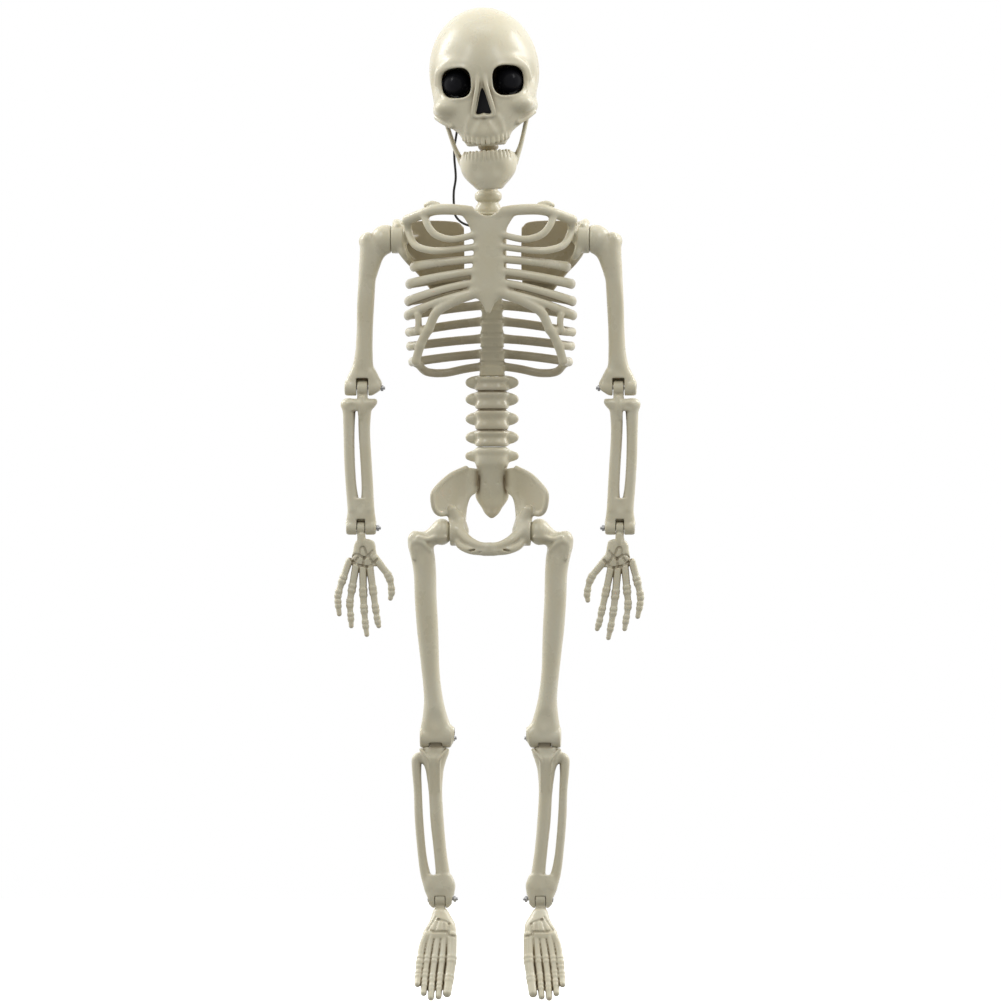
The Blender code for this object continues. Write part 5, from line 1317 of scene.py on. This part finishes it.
LIT_MIDDLE, VIEW_MIDDLE = Vector((0.0, 0.0, -0.27)), Vector((0.00924, 0.0, -0.2721))
LENS, SENSOR, VIEW_HALF_WIDTH, VIEW_TURN = 600.0, 36.0, 0.4625, math.radians(3.0)


def look_at(made, target):
    """Turn a lamp or camera towards a point."""
    made.rotation_mode = "QUATERNION"
    made.rotation_quaternion = (target - made.location).to_track_quat("-Z", "Y")


def softbox(name, place, size, power):
    """A soft lamp that lights the middle of the figure."""
    data = bpy.data.lights.new(name, "AREA")
    data.shape = "RECTANGLE"
    data.size, data.size_y = size
    data.energy = power
    made = bpy.data.objects.new(name, data)
    made.location = place
    bpy.context.scene.collection.objects.link(made)
    look_at(made, LIT_MIDDLE)


def build_world():
    """Soft light, stronger from behind and above; the camera itself sees plain white."""
    world = bpy.data.worlds.new("studio")
    bpy.context.scene.world = world
    world.use_nodes = True
    world.node_tree.nodes.clear()
    sky = Nodes(world.node_tree)
    way = sky.node("ShaderNodeSeparateXYZ")
    sky.link(sky.node("ShaderNodeTexCoord").outputs["Generated"], way.inputs[0])
    strength = sky.node("ShaderNodeMath", operation="MULTIPLY")
    sky.link(sky.spread(way.outputs["Y"], 0.36, 1.30, -1.0, 0.1), strength.inputs[0])
    sky.link(sky.spread(way.outputs["Z"], 0.40, 1.0, -0.8, 0.3), strength.inputs[1])
    light = sky.node("ShaderNodeBackground", Color=(1.0, 0.995, 0.98, 1.0))
    seen = sky.node("ShaderNodeBackground", Color=(1.0, 1.0, 1.0, 1.0))
    sky.link(strength.outputs[0], light.inputs["Strength"])
    pick, out = sky.node("ShaderNodeMixShader"), sky.node("ShaderNodeOutputWorld")
    sky.link(sky.node("ShaderNodeLightPath").outputs["Is Camera Ray"], pick.inputs[0])
    sky.link(light.outputs[0], pick.inputs[1])
    sky.link(seen.outputs[0], pick.inputs[2])
    sky.link(pick.outputs[0], out.inputs[0])


def build_floor():
    """Pale paper just under the feet, which gives no light of its own to the figure."""
    edge, level = 4.0, CAD_LOW[2] - 0.004
    mesh = bpy.data.meshes.new("floor")
    mesh.from_pydata([(x * edge, y * edge, level) for x, y in ((-1, -1), (1, -1), (1, 1), (-1, 1))],
                     [], [(0, 1, 2, 3)])
    floor = bpy.data.objects.new("floor", mesh)
    bpy.context.scene.collection.objects.link(floor)
    paper = Look("pale_paper", (0.82, 0.82, 0.82), 0.9)
    paper.inputs["Emission Color"].default_value = (1, 1, 1, 1)
    paper.inputs["Emission Strength"].default_value = 0.42
    mesh.materials.append(paper.material)
    floor.visible_diffuse = floor.visible_glossy = False


def build_studio():
    """Light, floor and camera."""
    scene = bpy.context.scene
    scene.view_settings.view_transform = "Standard"
    scene.view_settings.look = "None"
    build_world()
    for name, s in SIDES.items():
        softbox("softbox_back_" + name, (s * 1.75, 0.75, 0.95), (0.6, 1.4), 22)
        softbox("softbox_front_" + name, (s * 1.25, -1.5, 1.35), (0.3, 0.9), 7.5)
    softbox("softbox_top", (0.0, -0.2, 2.2), (1.2, 0.5), 4)
    build_floor()
    data = bpy.data.cameras.new("camera")
    data.lens, data.sensor_width = LENS, SENSOR
    data.clip_start, data.clip_end = 0.1, 100.0
    camera = bpy.data.objects.new("camera", data)
    scene.collection.objects.link(camera)
    scene.camera = camera
    distance = VIEW_HALF_WIDTH / (SENSOR / 2 / LENS)
    camera.location = VIEW_MIDDLE + Vector((math.sin(VIEW_TURN), -math.cos(VIEW_TURN), 0.0)) * distance
    look_at(camera, VIEW_MIDDLE)


build_studio()
build_wire()
build_skull()
build_eyes()
build_jaw()
build_neck()
build_rib_cage_front()
build_rib_cage_back()
build_scapulae()
build_battery_box()
build_lumbar()
build_pelvis()
build_upper_arm()
build_forearm()
build_hands()
build_thigh()
build_shin()
build_feet()
build_screws()
build_grommet()
dress_kept_nodes()
